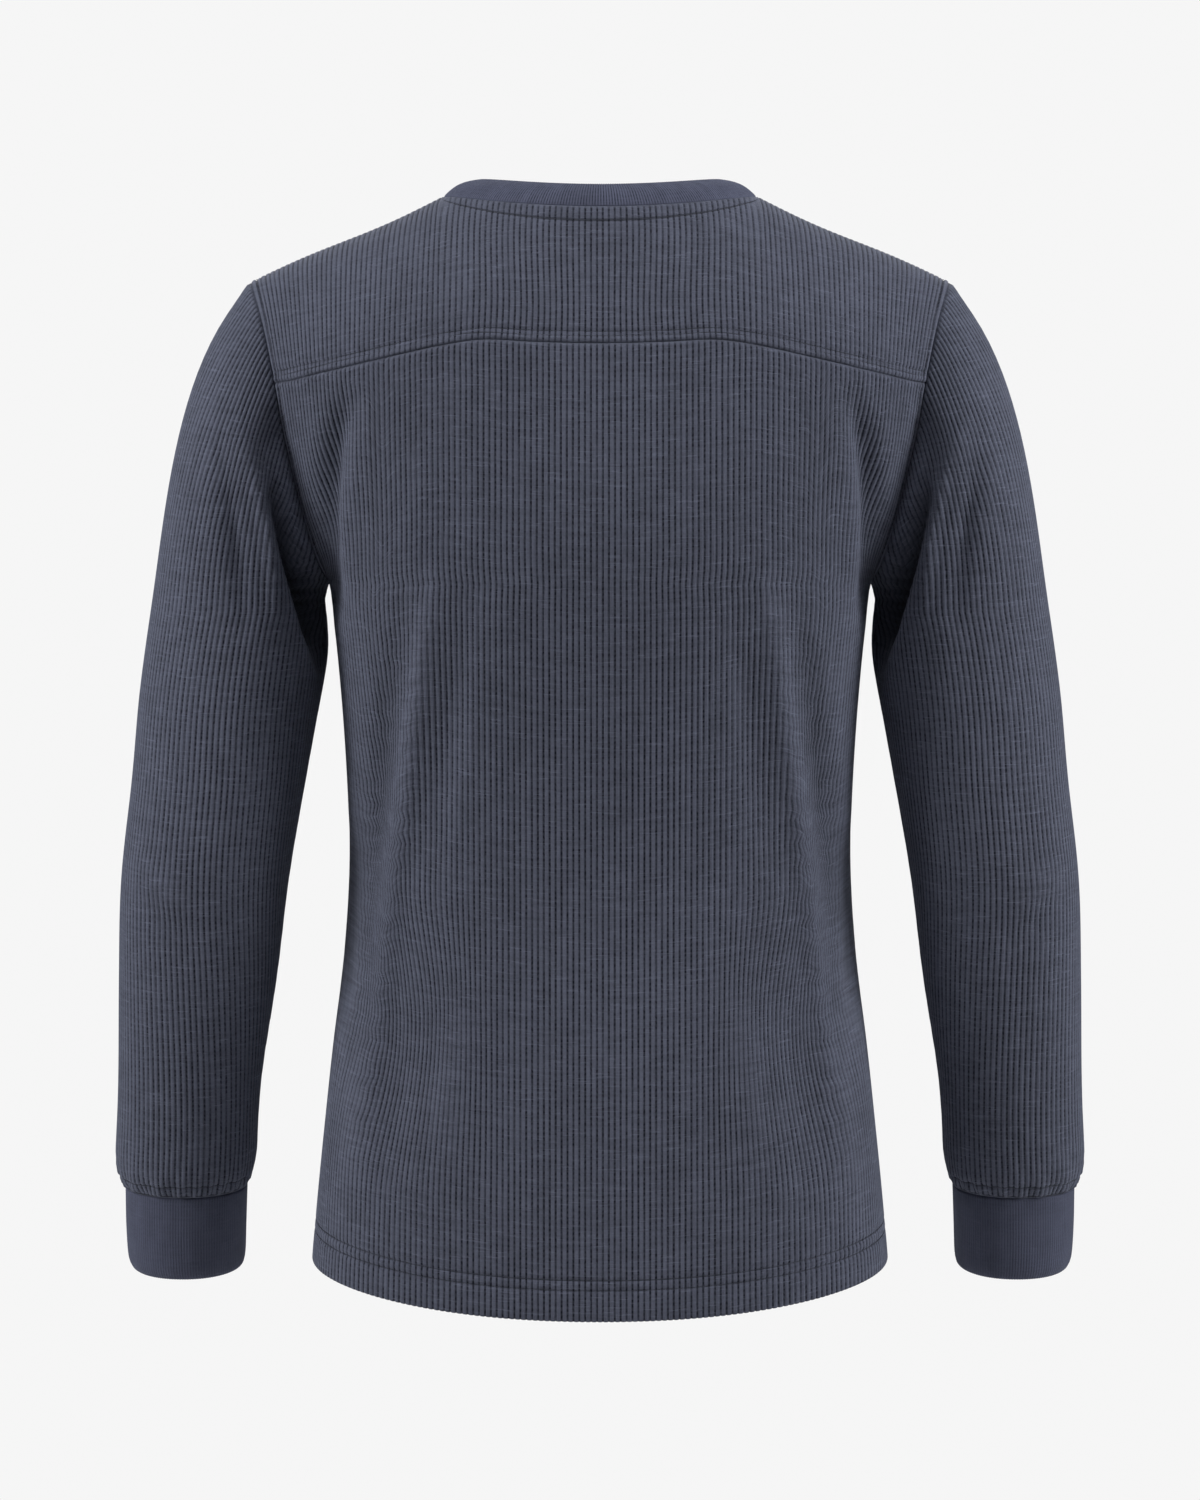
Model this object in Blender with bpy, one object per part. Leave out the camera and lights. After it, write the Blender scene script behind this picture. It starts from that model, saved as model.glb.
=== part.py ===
"""Long-sleeved thermal top in ribbed cotton, held in the hollow form it has when it is worn.

The frame: +Z is up, the wearer faces +Y and the wearer's right arm is on +X. The origin lies on the
shoulder line, halfway between the two points where it meets the neck seam, which is where the
wearer's shoulders hold the top up. Lengths are in metres.

Each cut piece is a wall of its own: front, back, back yoke, two sleeves, neckband and two cuffs.
A piece is a grid of points, rows running up and columns running along the ribs. Two pieces that are
sewn together share the points of their seam, and the walls are then parted there by the seam gap.
The outer points of the ribbed cloth are raised along every second column over a plain inside.
"""

import math
from collections import namedtuple

import bmesh
import bpy
import numpy as np

# Cloth
CLOTH_WALL = 0.0015
HEM_WALL = 0.0024
BAND_WALL = 0.0024
RIB_RAISE = 0.0008
SEAM_GAP = 0.0003
UNDERARM_FLAT = 0.016

ALL = slice(None)

# Grid: columns across half a panel, and columns between one armhole row and the next on a sleeve
HALF_COLUMNS = 44
NECK_COLUMN = 20
NECK_TURN = range(13, 24)
NECK_SMOOTHING = 6
COLUMNS_PER_ARMHOLE_ROW = 4
INSIDE_STEP = 4
CUFF_COLUMNS = 36
ROWS_TO_YOKE = 6
ROWS_IN_YOKE = 4
ROWS_IN_CAP = 5

# Torso
SIDE_Y = 0.005
CHEST_POWER = 2.4
UNDERARM_X = 0.1735
UNDERARM_Z = -0.243
Section = namedtuple("Section", "side_z half_width back_y front_y centre_drop power wall")
SECTIONS = (
    Section(-0.6760, 0.1852, -0.118, 0.118, 0.020, 3.1, HEM_WALL),
    Section(-0.6580, 0.1838, -0.117, 0.117, 0.020, 3.1, HEM_WALL),
    Section(-0.6130, 0.1797, -0.113, 0.116, 0.015, 2.9, CLOTH_WALL),
    Section(-0.5480, 0.1730, -0.106, 0.113, 0.008, 2.6, CLOTH_WALL),
    Section(-0.4820, 0.1652, -0.098, 0.111, 0.003, 2.5, CLOTH_WALL),
    Section(-0.4170, 0.1614, -0.096, 0.114, 0.000, 2.4, CLOTH_WALL),
    Section(-0.3520, 0.1634, -0.101, 0.121, 0.000, 2.4, CLOTH_WALL),
    Section(-0.2880, 0.1682, -0.109, 0.127, 0.000, 2.4, CLOTH_WALL),
    Section(UNDERARM_Z, UNDERARM_X, -0.114, 0.129, 0.000, CHEST_POWER, CLOTH_WALL),
)
Profile = namedtuple("Profile", "z y")
BACK_PROFILE = (
    Profile(UNDERARM_Z, -0.114),
    Profile(-0.200, -0.116),
    Profile(-0.150, -0.113),
    Profile(-0.0934, -0.105),
)
FRONT_PROFILE = (
    Profile(UNDERARM_Z, 0.129),
    Profile(-0.200, 0.124),
    Profile(-0.160, 0.113),
    Profile(-0.135, 0.104),
)
YOKE_CENTRE_Z = -0.0934
CHEST_CENTRE_Z = -0.135

# The yoke seam falls away from a soft corner on each side: share of the half width, share of the fall
SeamFall = namedtuple("SeamFall", "across fall")
YOKE_SEAM = (
    SeamFall(0.00, 0.000),
    SeamFall(0.20, -0.035),
    SeamFall(0.31, -0.090),
    SeamFall(0.37, -0.085),
    SeamFall(0.45, 0.035),
    SeamFall(0.60, 0.300),
    SeamFall(1.00, 1.000),
)
CHEST_LINE = (
    SeamFall(0.00, 0.000),
    SeamFall(0.50, 0.250),
    SeamFall(1.00, 1.000),
)

# Neck and shoulder seams
NECK_HALF_WIDTH = 0.0996
SHOULDER_SEAM_Y = 0.008
NECK_CENTRE = {"back": Profile(-0.0105, -0.080), "front": Profile(-0.095, 0.084)}
NECK_DIP = {"back": 2.0, "front": 1.3}
SHOULDER_POINT = (0.2225, SHOULDER_SEAM_Y, -0.0536)
SHOULDER_SAG = 0.0007
SHOULDER_WAVE = 0.0011
ARRIVAL_AT_SHOULDER = math.radians(-3)
ARRIVAL_AT_NECK = {"back": math.radians(66), "front": math.radians(56)}
YOKE_FULLNESS = 0.92

# Armhole seam on the +X side, from the underarm up to the shoulder point
ArmholePoint = namedtuple("ArmholePoint", "x y z")
ARMHOLE_BACK = (
    ArmholePoint(UNDERARM_X, SIDE_Y, UNDERARM_Z),
    ArmholePoint(0.1795, -0.020, -0.229),
    ArmholePoint(0.1888, -0.035, -0.191),
    ArmholePoint(0.1984, -0.045, -0.147),
    ArmholePoint(0.2027, -0.050, -0.1194),
    ArmholePoint(0.2110, -0.040, -0.082),
    ArmholePoint(0.2188, -0.018, -0.0595),
    ArmholePoint(*SHOULDER_POINT),
)
ARMHOLE_FRONT = (
    ArmholePoint(UNDERARM_X, SIDE_Y, UNDERARM_Z),
    ArmholePoint(0.1765, 0.031, -0.231),
    ArmholePoint(0.1820, 0.050, -0.192),
    ArmholePoint(0.1880, 0.056, -0.150),
    ArmholePoint(0.1965, 0.053, -0.110),
    ArmholePoint(0.2090, 0.040, -0.077),
    ArmholePoint(0.2185, 0.024, -0.058),
    ArmholePoint(*SHOULDER_POINT),
)

# Sleeve rings on the +X side, from the cuff seam up; lean is the rise of a ring towards the front
SLEEVE_POWER = 2.15
Ring = namedtuple("Ring", "z outer_x inner_x centre_y half_depth lean")
SLEEVE_RINGS = (
    Ring(-0.6400, 0.3102, 0.2312, 0.024, 0.0375, 0.13),
    Ring(-0.6320, 0.3146, 0.2264, 0.023, 0.0412, 0.13),
    Ring(-0.6235, 0.3172, 0.2242, 0.022, 0.0432, 0.13),
    Ring(-0.6080, 0.3152, 0.2246, 0.020, 0.0425, 0.12),
    Ring(-0.5640, 0.3122, 0.2205, 0.012, 0.0445, 0.10),
    Ring(-0.5000, 0.3100, 0.2095, 0.003, 0.0485, 0.06),
    Ring(-0.4340, 0.3072, 0.2008, -0.002, 0.0535, 0.02),
    Ring(-0.3700, 0.2996, 0.1895, -0.001, 0.0570, 0.00),
    Ring(-0.3210, 0.2952, 0.1804, 0.001, 0.0590, 0.00),
    Ring(-0.2880, 0.2910, 0.1745, 0.003, 0.0590, 0.00),
    Ring(-0.2580, 0.2864, 0.1766, 0.004, 0.0580, 0.00),
)
# How the sleeve leaves the armhole, by the share of the way from the shoulder point to the underarm
Leaving = namedtuple("Leaving", "share out away down")
SLEEVE_LEAVING = (
    Leaving(0.00, 0.70, 0.00, 0.71),
    Leaving(0.30, 0.72, 0.30, 0.62),
    Leaving(0.55, 0.60, 0.50, 0.62),
    Leaving(0.80, 0.35, 0.45, 0.82),
    Leaving(1.00, 0.10, 0.00, 1.00),
)
CAP_FULLNESS = 0.94

# Cuff rings and neckband
CUFF_RINGS = (
    Ring(-0.6915, 0.3074, 0.2346, 0.031, 0.0350, 0.13),
    Ring(-0.6850, 0.3096, 0.2334, 0.030, 0.0368, 0.13),
    Ring(-0.6640, 0.3104, 0.2324, 0.027, 0.0375, 0.13),
    Ring(-0.6400, 0.3102, 0.2312, 0.024, 0.0375, 0.13),
)
BAND_TOP_HALF_WIDTH = 0.0775
BAND_TOP_SIDE_Z = 0.0112
BAND_TOP = {"back": Profile(0.0035, -0.0685), "front": Profile(-0.0760, 0.0700)}
BAND_ROWS = 3
BAND_CROWN = 0.0026

# The drape fold down each side of the body, from the underarm to the waist
Fold = namedtuple("Fold", "top_x top_z foot_x foot_z half_width height")
SIDE_FOLDS = (
    Fold(0.113, -0.270, 0.142, -0.450, 0.012, 0.0032),
    Fold(0.134, -0.262, 0.153, -0.410, 0.009, -0.0022),
)
FOLD_FADE = 0.015

Finish = namedtuple("Finish", "colour roughness")
RIBBED_COTTON = Finish((0.075, 0.083, 0.122, 1.0), 0.95)
BAND_COTTON = Finish((0.062, 0.068, 0.100, 1.0), 0.92)


def unit(vectors):
    """Vectors of length one."""
    lengths = np.linalg.norm(vectors, axis=-1, keepdims=True)
    return vectors / np.maximum(lengths, 1e-12)


def through(points, samples=16):
    """A smooth run of points through the given ones, as a Catmull-Rom spline."""
    points = np.array(points, dtype=float)
    padded = np.vstack([2 * points[0] - points[1], points, 2 * points[-1] - points[-2]])
    run = []
    for before, start, end, after in zip(padded, padded[1:], padded[2:], padded[3:]):
        for step in np.linspace(0, 1, samples, endpoint=False):
            run.append(
                0.5
                * (
                    2 * start
                    + (end - before) * step
                    + (2 * before - 5 * start + 4 * end - after) * step**2
                    + (3 * start - before - 3 * end + after) * step**3
                )
            )
    run.append(points[-1])
    return np.array(run)


def spaced(run, shares):
    """The points at the given shares of a run's length."""
    steps = np.linalg.norm(np.diff(run, axis=0), axis=1)
    along = np.concatenate([[0], np.cumsum(steps)]) / steps.sum()
    return np.column_stack([np.interp(shares, along, column) for column in run.T])


def looked_up(table, at):
    """A table's smooth value at a place; the table's first column is the place."""
    run = through(table)
    order = np.argsort(run[:, 0])
    return np.interp(at, run[order, 0], run[order, 1])


def quarter_section(end_x, end_y, depth_y, power):
    """Plan of half a panel at one level, from the centre line out to its end, as evenly spaced (x, y)."""
    reach = abs(depth_y - SIDE_Y)
    end_share = min(abs(end_y - SIDE_Y) / reach, 1.0)
    full_width = end_x / (1 - end_share**power) ** (1 / power)
    end_angle = math.asin(min((end_x / full_width) ** (power / 2), 1.0))
    angles = np.linspace(0, end_angle, 200)
    x = full_width * np.sin(angles) ** (2 / power)
    y = SIDE_Y + math.copysign(reach, depth_y) * np.cos(angles) ** (2 / power)
    x[-1], y[-1] = end_x, end_y
    return spaced(np.column_stack([x, y]), np.linspace(0, 1, HALF_COLUMNS + 1))


def smooth_step(share):
    """A soft ramp from 0 to 1."""
    share = np.clip(share, 0, 1)
    return share * share * (3 - 2 * share)


def side_fold(x, z, half_width):
    """How far the drape folds lift the cloth at a place on the body, ending before the side seam."""
    lift = np.zeros_like(x)
    for fold in SIDE_FOLDS:
        along = (fold.top_z - z) / (fold.top_z - fold.foot_z)
        middle = fold.top_x + (fold.foot_x - fold.top_x) * along
        ends = np.sin(math.pi * np.clip(along, 0, 1)) ** 2
        lift += fold.height * ends * np.exp(-(((x - middle) / fold.half_width) ** 2))
    return lift * smooth_step((half_width - x) / FOLD_FADE)


def armhole(branch, share):
    """Points of an armhole branch at shares of the way from the underarm to the shoulder point."""
    return spaced(through(branch), np.atleast_1d(share))


def lower_rows(side):
    """Half rows from the hem to the underarm, on the front or the back."""
    rows = []
    for section in SECTIONS:
        depth = getattr(section, f"{side}_y")
        plan = quarter_section(section.half_width, SIDE_Y, depth, section.power)
        x, y = plan.T
        z = section.side_z - section.centre_drop * (1 - (x / section.half_width) ** 2)
        out = math.copysign(1.0, depth)
        rows.append(np.column_stack([x, y + out * side_fold(x, z, section.half_width), z]))
    return rows


def rising_rows(side):
    """Half rows from above the underarm to the yoke seam, or to the chest line on the front."""
    profile, seam, branch, centre_z = {
        "back": (BACK_PROFILE, YOKE_SEAM, ARMHOLE_BACK, YOKE_CENTRE_Z),
        "front": (FRONT_PROFILE, CHEST_LINE, ARMHOLE_FRONT, CHEST_CENTRE_Z),
    }[side]
    rows = []
    for row in range(1, ROWS_TO_YOKE + 1):
        share = row / ROWS_TO_YOKE
        end = armhole(branch, row / (ROWS_TO_YOKE + ROWS_IN_YOKE))[0]
        middle_z = UNDERARM_Z + (centre_z - UNDERARM_Z) * share
        plan = quarter_section(end[0], end[1], looked_up(profile, middle_z), CHEST_POWER)
        across = plan[:, 0] / end[0]
        fall = (1 - share) * across**2 + share * looked_up(seam, across)
        z = middle_z + (end[2] - middle_z) * fall
        rows.append(np.column_stack([plan, z]))
    return rows


def top_line(side):
    """Half of the neck seam and one shoulder seam, from the centre line to the shoulder point."""
    centre = NECK_CENTRE[side]
    share = np.linspace(0, 1, NECK_COLUMN + 1)
    sine = (share + np.sin(share * math.pi / 2)) / 2
    cosine = np.sqrt(1 - np.minimum(sine, 1) ** 2)
    neck = np.column_stack(
        [
            NECK_HALF_WIDTH * sine,
            SHOULDER_SEAM_Y + (centre.y - SHOULDER_SEAM_Y) * cosine,
            centre.z * cosine ** NECK_DIP[side],
        ]
    )
    share = np.linspace(0, 1, HALF_COLUMNS - NECK_COLUMN + 1)[1:, None]
    shoulder = neck[-1] + (np.array(SHOULDER_POINT) - neck[-1]) * share
    turn = math.pi * share[:, 0]
    shoulder[:, 2] -= SHOULDER_SAG * np.sin(turn) + SHOULDER_WAVE * np.sin(2 * turn)
    return np.vstack([neck, shoulder])


def hermite(start, leave, end, arrive, share):
    """A point on the smooth curve between two ends with the given directions."""
    return (
        (2 * share**3 - 3 * share**2 + 1) * start
        + (share**3 - 2 * share**2 + share) * leave
        + (3 * share**2 - 2 * share**3) * end
        + (share**3 - share**2) * arrive
    )


def top_rows(side, before, start):
    """Half rows from the yoke seam or chest line over the shoulder to the top line."""
    branch = {"back": ARMHOLE_BACK, "front": ARMHOLE_FRONT}[side]
    end = top_line(side)
    reach = np.linalg.norm(end - start, axis=1, keepdims=True) * YOKE_FULLNESS
    columns = np.arange(HALF_COLUMNS + 1)
    round_neck = (end[:, 1] - SHOULDER_SEAM_Y) / (end[0, 1] - SHOULDER_SEAM_Y)
    angle = ARRIVAL_AT_SHOULDER + (ARRIVAL_AT_NECK[side] - ARRIVAL_AT_SHOULDER) * round_neck
    inwards = 1.0 if side == "back" else -1.0
    arrive = np.column_stack([0 * angle, inwards * np.cos(angle), np.sin(angle)]) * reach
    leave = unit(start - before) * reach
    hold = (columns[:, None] / HALF_COLUMNS) ** 5
    rows = []
    for row in range(1, ROWS_IN_YOKE + 1):
        share = row / ROWS_IN_YOKE
        points = hermite(start, leave, end, arrive, share)
        edge = armhole(branch, (ROWS_TO_YOKE + row) / (ROWS_TO_YOKE + ROWS_IN_YOKE))[0]
        rows.append(points + hold * (edge - points[-1]))
    return rows


def whole(half_rows, side):
    """Full rows from half rows, running so that the outside faces out."""
    rows = []
    for half in half_rows:
        mirrored = half[::-1] * (-1, 1, 1)
        row = np.vstack([mirrored[:-1], half])
        rows.append(row if side == "back" else row[::-1])
    return np.array(rows)


def ring_points(ring, shares):
    """Points of a sleeve or cuff ring, by the share of the way round from the underarm by the back."""
    angles = np.linspace(-math.pi, math.pi, 400)
    centre_x = (ring.outer_x + ring.inner_x) / 2
    half_width = (ring.outer_x - ring.inner_x) / 2
    cosine, sine = np.cos(angles), np.sin(angles)
    x = centre_x + half_width * np.sign(cosine) * np.abs(cosine) ** (2 / SLEEVE_POWER)
    away = ring.half_depth * np.sign(sine) * np.abs(sine) ** (2 / SLEEVE_POWER)
    run = np.column_stack([x, ring.centre_y + away, ring.z + ring.lean * away])
    return spaced(run, shares)


def armhole_loop():
    """The +X armhole's points, from the underarm by the back and over the shoulder point."""
    armhole_rows = ROWS_TO_YOKE + ROWS_IN_YOKE
    half = armhole_rows * COLUMNS_PER_ARMHOLE_ROW
    share = np.arange(half + 1) / half
    corners = np.arange(armhole_rows + 1) / armhole_rows
    back = np.column_stack(
        [np.interp(share, corners, column) for column in armhole(ARMHOLE_BACK, corners).T]
    )
    front = np.column_stack(
        [np.interp(share, corners, column) for column in armhole(ARMHOLE_FRONT, corners).T]
    )
    return np.vstack([back, front[::-1][1:-1]])


def sleeve_rows():
    """All rows of the +X sleeve, from the cuff seam up to the armhole."""
    seam = armhole_loop()
    around = np.arange(len(seam)) / len(seam)
    from_shoulder = np.abs(1 - 2 * around)
    rings = [ring_points(ring, around) for ring in SLEEVE_RINGS]
    top, under = rings[-1], rings[-2]
    leaving = np.column_stack(
        [
            np.interp(from_shoulder, [row.share for row in SLEEVE_LEAVING], column)
            for column in zip(*[(row.out, row.away, -row.down) for row in SLEEVE_LEAVING])
        ]
    )
    half = len(seam) // 2
    leaving[:half, 1] *= -1
    reach = np.linalg.norm(top - seam, axis=1, keepdims=True) * CAP_FULLNESS
    leave = unit(leaving) * reach
    arrive = unit(under - top) * reach
    cap = [
        hermite(seam, leave, top, arrive, 1 - row / ROWS_IN_CAP)
        for row in range(1, ROWS_IN_CAP + 1)
    ]
    return np.array(rings + cap)


def grid_normals(grid, closed):
    """Outward directions at a grid's points; a closed grid joins its last column to its first."""
    upward = np.gradient(grid, axis=0)
    if closed:
        sideways = (np.roll(grid, -1, axis=1) - np.roll(grid, 1, axis=1)) / 2
    else:
        sideways = np.gradient(grid, axis=1)
    return unit(np.cross(sideways, upward))


def neck_columns():
    """The neckband's lower points, which are those of the back yoke and the front in turn."""
    back = top_line("back")[: NECK_COLUMN + 1]
    front = top_line("front")[: NECK_COLUMN + 1]
    loop = [
        back[::-1][:-1] * (-1, 1, 1),
        back[:-1],
        front[::-1][:-1],
        front[:-1] * (-1, 1, 1),
    ]
    return np.vstack(loop)


def neckband_grid():
    """The neckband from its seam up to its top edge, leaning in towards the neck."""
    foot = neck_columns()
    sine = foot[:, 0] / NECK_HALF_WIDTH
    cosine = np.sqrt(np.maximum(1 - sine**2, 0))
    behind = foot[:, 1] <= SHOULDER_SEAM_Y
    back, front = BAND_TOP["back"], BAND_TOP["front"]
    end_y = np.where(behind, back.y, front.y)
    end_z = np.where(behind, back.z, front.z)
    level = np.where(behind, cosine ** NECK_DIP["back"], cosine ** NECK_DIP["front"])
    middle_y = (back.y + front.y) / 2
    top = np.column_stack(
        [
            BAND_TOP_HALF_WIDTH * sine,
            middle_y + (end_y - middle_y) * cosine,
            BAND_TOP_SIDE_Z + (end_z - BAND_TOP_SIDE_Z) * level,
        ]
    )
    grid = np.array([foot + (top - foot) * row / (BAND_ROWS - 1) for row in range(BAND_ROWS)])
    grid[1] += grid_normals(grid, True)[1] * BAND_CROWN
    return grid


Piece = namedtuple("Piece", "grid normals closed ribbed fine_top wall shift")


def make_piece(grid, closed, ribbed, wall, fine_top=False):
    """A piece's grid with its outward directions and room for the gaps at its seams."""
    normals = grid_normals(grid, closed)
    return Piece(grid, normals, closed, ribbed, fine_top, wall, np.zeros_like(grid))


def share_seam_normals(pieces):
    """Give the points that sewn pieces share one common direction, so that their walls are mitred."""
    groups = {}
    for piece in pieces:
        rows, columns = piece.grid.shape[:2]
        for row in range(rows):
            for column in range(columns):
                on_side = not piece.closed and column in (0, columns - 1)
                if row in (0, rows - 1) or on_side:
                    key = tuple(np.round(piece.grid[row, column] * 1e6).astype(int))
                    groups.setdefault(key, []).append((piece, row, column))
    for members in groups.values():
        total = sum(piece.normals[row, column] for piece, row, column in members)
        shared = unit(total)
        corner = members[0][0].grid[members[0][1], members[0][2]]
        if abs(corner[2] - UNDERARM_Z) < 1e-6 and abs(corner[1] - SIDE_Y) < 1e-6:
            shared = np.array([0.0, 0.0, -1.0])
        for piece, row, column in members:
            piece.normals[row, column] = shared


def mirror_normals(piece, right_first):
    """Give a panel's left half the directions of its right half, where they meet the sleeve."""
    half = piece.normals.shape[1] // 2
    if right_first:
        piece.normals[:, half + 1 :] = piece.normals[:, :half][:, ::-1] * (-1, 1, 1)
    else:
        piece.normals[:, :half] = piece.normals[:, half + 1 :][:, ::-1] * (-1, 1, 1)


def even_out_neck(band, yoke, front):
    """Smooth the shared directions round the neck seam, so that the walls' edges don't twist there."""
    shared = band.normals[0]
    for _ in range(NECK_SMOOTHING):
        shared = unit(np.roll(shared, 1, axis=0) + 2 * shared + np.roll(shared, -1, axis=0))
    band.normals[0] = shared
    neck = slice(HALF_COLUMNS - NECK_COLUMN, HALF_COLUMNS + NECK_COLUMN + 1)
    yoke.normals[-1, neck] = shared[: 2 * NECK_COLUMN + 1]
    front.normals[-1, neck] = np.vstack([shared[2 * NECK_COLUMN :], shared[:1]])


def even_out_shoulder(piece, right_first):
    """Along the shoulder seam, a panel's directions run straight from the neck to the armhole."""
    top = piece.normals[-1] if right_first else piece.normals[-1, ::-1]
    shoulder = HALF_COLUMNS - NECK_COLUMN
    share = np.linspace(0, 1, shoulder + 1)[:, None]
    top[: shoulder + 1] = unit(top[0] + (top[shoulder] - top[0]) * share)


def square_to_arm(piece, row, lean):
    """Turn a ring's outward directions into its own plane, so that the cuff butts the sleeve."""
    axis = unit(np.array([0.0, -lean, 1.0]))
    along = (piece.normals[row] @ axis)[:, None] * axis
    piece.normals[row] = unit(piece.normals[row] - along)


def even_out_sleeve_top(piece):
    """Between the armhole's shared points, the sleeve's directions run straight from one to the next."""
    top = piece.normals[-1]
    count = len(top)
    corners = np.arange(0, count + 1, COLUMNS_PER_ARMHOLE_ROW)
    for axis in range(3):
        values = top[corners % count, axis]
        top[:, axis] = np.interp(np.arange(count), corners, values)


def open_seam(piece, row, columns, closed=False):
    """Draw a row's or column's points back from their seam by half the gap, into the piece."""
    index = (row, columns)
    line = piece.grid[index]
    if closed:
        along = np.roll(line, -1, axis=0) - np.roll(line, 1, axis=0)
    else:
        along = np.gradient(line, axis=0)
    across = unit(np.cross(along, piece.normals[index]))
    if isinstance(row, int):
        inner = piece.grid[1 if row == 0 else -2, columns]
    else:
        inner = piece.grid[row, 1 if columns == 0 else -2]
    facing = math.copysign(1.0, np.einsum("ij,ij->", across, inner - line))
    piece.shift[index] += across * facing * SEAM_GAP / 2


def open_side_seams(piece, direction):
    """Part a panel's side seams from the other panel's, forwards or backwards."""
    for column in (0, -1):
        piece.shift[: len(SECTIONS), column, 1] += direction * SEAM_GAP / 2


def rib_heights(piece):
    """How far each outer point is raised: every second column, and flat close to the underarm."""
    heights = np.zeros(piece.grid.shape[:2])
    if piece.ribbed:
        heights[:, 1::2] = RIB_RAISE
        on_right = np.concatenate([np.abs(piece.grid[:, :, :1]), piece.grid[:, :, 1:]], axis=2)
        apart = np.linalg.norm(on_right - (UNDERARM_X, SIDE_Y, UNDERARM_Z), axis=2)
        heights *= smooth_step((apart - UNDERARM_FLAT) / UNDERARM_FLAT)
    return heights


def inside_columns(piece, row):
    """The columns that a row's inner points stand on."""
    rows, columns = piece.grid.shape[:2]
    if not piece.ribbed or (piece.fine_top and row == rows - 1):
        return list(range(columns))
    near_neck = piece.fine_top and row >= rows - ROWS_IN_YOKE
    out_from_centre = [abs(column - columns // 2) for column in range(columns)]
    return [
        column
        for column in range(columns)
        if column % INSIDE_STEP == 0 or near_neck and out_from_centre[column] in NECK_TURN
    ]


def bridge(lower, upper):
    """Triangles between two rows of point numbers that start and end together."""
    faces = []
    low, high = 0, 0
    while low < len(lower) - 1 or high < len(upper) - 1:
        low_share = (low + 1) / (len(lower) - 1) if low < len(lower) - 1 else 2.0
        high_share = (high + 1) / (len(upper) - 1) if high < len(upper) - 1 else 2.0
        if low_share <= high_share:
            faces.append((lower[low], lower[low + 1], upper[high]))
            low += 1
        else:
            faces.append((lower[low], upper[high + 1], upper[high]))
            high += 1
    return faces


def wall_mesh(piece, mirrored):
    """Points and faces of a piece's closed wall."""
    grid = piece.grid + piece.shift
    rows, columns = grid.shape[:2]
    walls = np.broadcast_to(np.asarray(piece.wall, dtype=float), (rows,))
    points = list((grid + piece.normals * rib_heights(piece)[:, :, None]).reshape(-1, 3))
    outer_ids = [list(range(row * columns, (row + 1) * columns)) for row in range(rows)]
    inner_ids = []
    for row in range(rows):
        picked = inside_columns(piece, row)
        inner_ids.append(list(range(len(points), len(points) + len(picked))))
        points += list((grid[row] - piece.normals[row] * walls[row])[picked])
    if piece.closed:
        outer_ids = [ids + ids[:1] for ids in outer_ids]
        inner_ids = [ids + ids[:1] for ids in inner_ids]
    faces = []
    for wall_ids in (outer_ids, inner_ids):
        for lower, upper in zip(wall_ids, wall_ids[1:]):
            faces += bridge(lower, upper)
    for row in (0, -1):
        faces += bridge(outer_ids[row], inner_ids[row])
    if not piece.closed:
        for column in (0, -1):
            faces += bridge([ids[column] for ids in outer_ids], [ids[column] for ids in inner_ids])
    points = np.array(points)
    if mirrored:
        points = points * (-1, 1, 1)
    return points, faces


def make_material(name, finish):
    """A plain cloth finish."""
    material = bpy.data.materials.new(name)
    material.use_nodes = True
    shader = material.node_tree.nodes["Principled BSDF"]
    shader.inputs["Base Color"].default_value = finish.colour
    shader.inputs["Roughness"].default_value = finish.roughness
    shader.inputs["Metallic"].default_value = 0.0
    return material


def add_object(name, piece, material, mirrored=False):
    """An object with a piece's wall as its mesh, its faces turned outwards."""
    points, faces = wall_mesh(piece, mirrored)
    shape = bmesh.new()
    corners = [shape.verts.new(point) for point in points]
    for face in faces:
        shape.faces.new([corners[index] for index in face])
    bmesh.ops.recalc_face_normals(shape, faces=shape.faces)
    mesh = bpy.data.meshes.new(name)
    shape.to_mesh(mesh)
    shape.free()
    mesh.shade_smooth()
    mesh.set_sharp_from_angle(angle=math.radians(40))
    mesh.materials.append(material)
    part = bpy.data.objects.new(name, mesh)
    bpy.context.scene.collection.objects.link(part)


def body_pieces():
    """Back, back yoke and front."""
    walls = [section.wall for section in SECTIONS]
    back_lower, front_lower = lower_rows("back"), lower_rows("front")
    back_rows = back_lower + rising_rows("back")
    front_rows = front_lower + rising_rows("front")
    yoke_rows = [back_rows[-1]] + top_rows("back", back_rows[-2], back_rows[-1])
    front_rows += top_rows("front", front_rows[-2], front_rows[-1])
    back_walls = walls + [CLOTH_WALL] * (len(back_rows) - len(walls))
    front_walls = walls + [CLOTH_WALL] * (len(front_rows) - len(walls))
    return (
        make_piece(whole(back_rows, "back"), False, True, back_walls),
        make_piece(whole(yoke_rows, "back"), False, True, CLOTH_WALL, fine_top=True),
        make_piece(whole(front_rows, "front"), False, True, front_walls, fine_top=True),
    )


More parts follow.
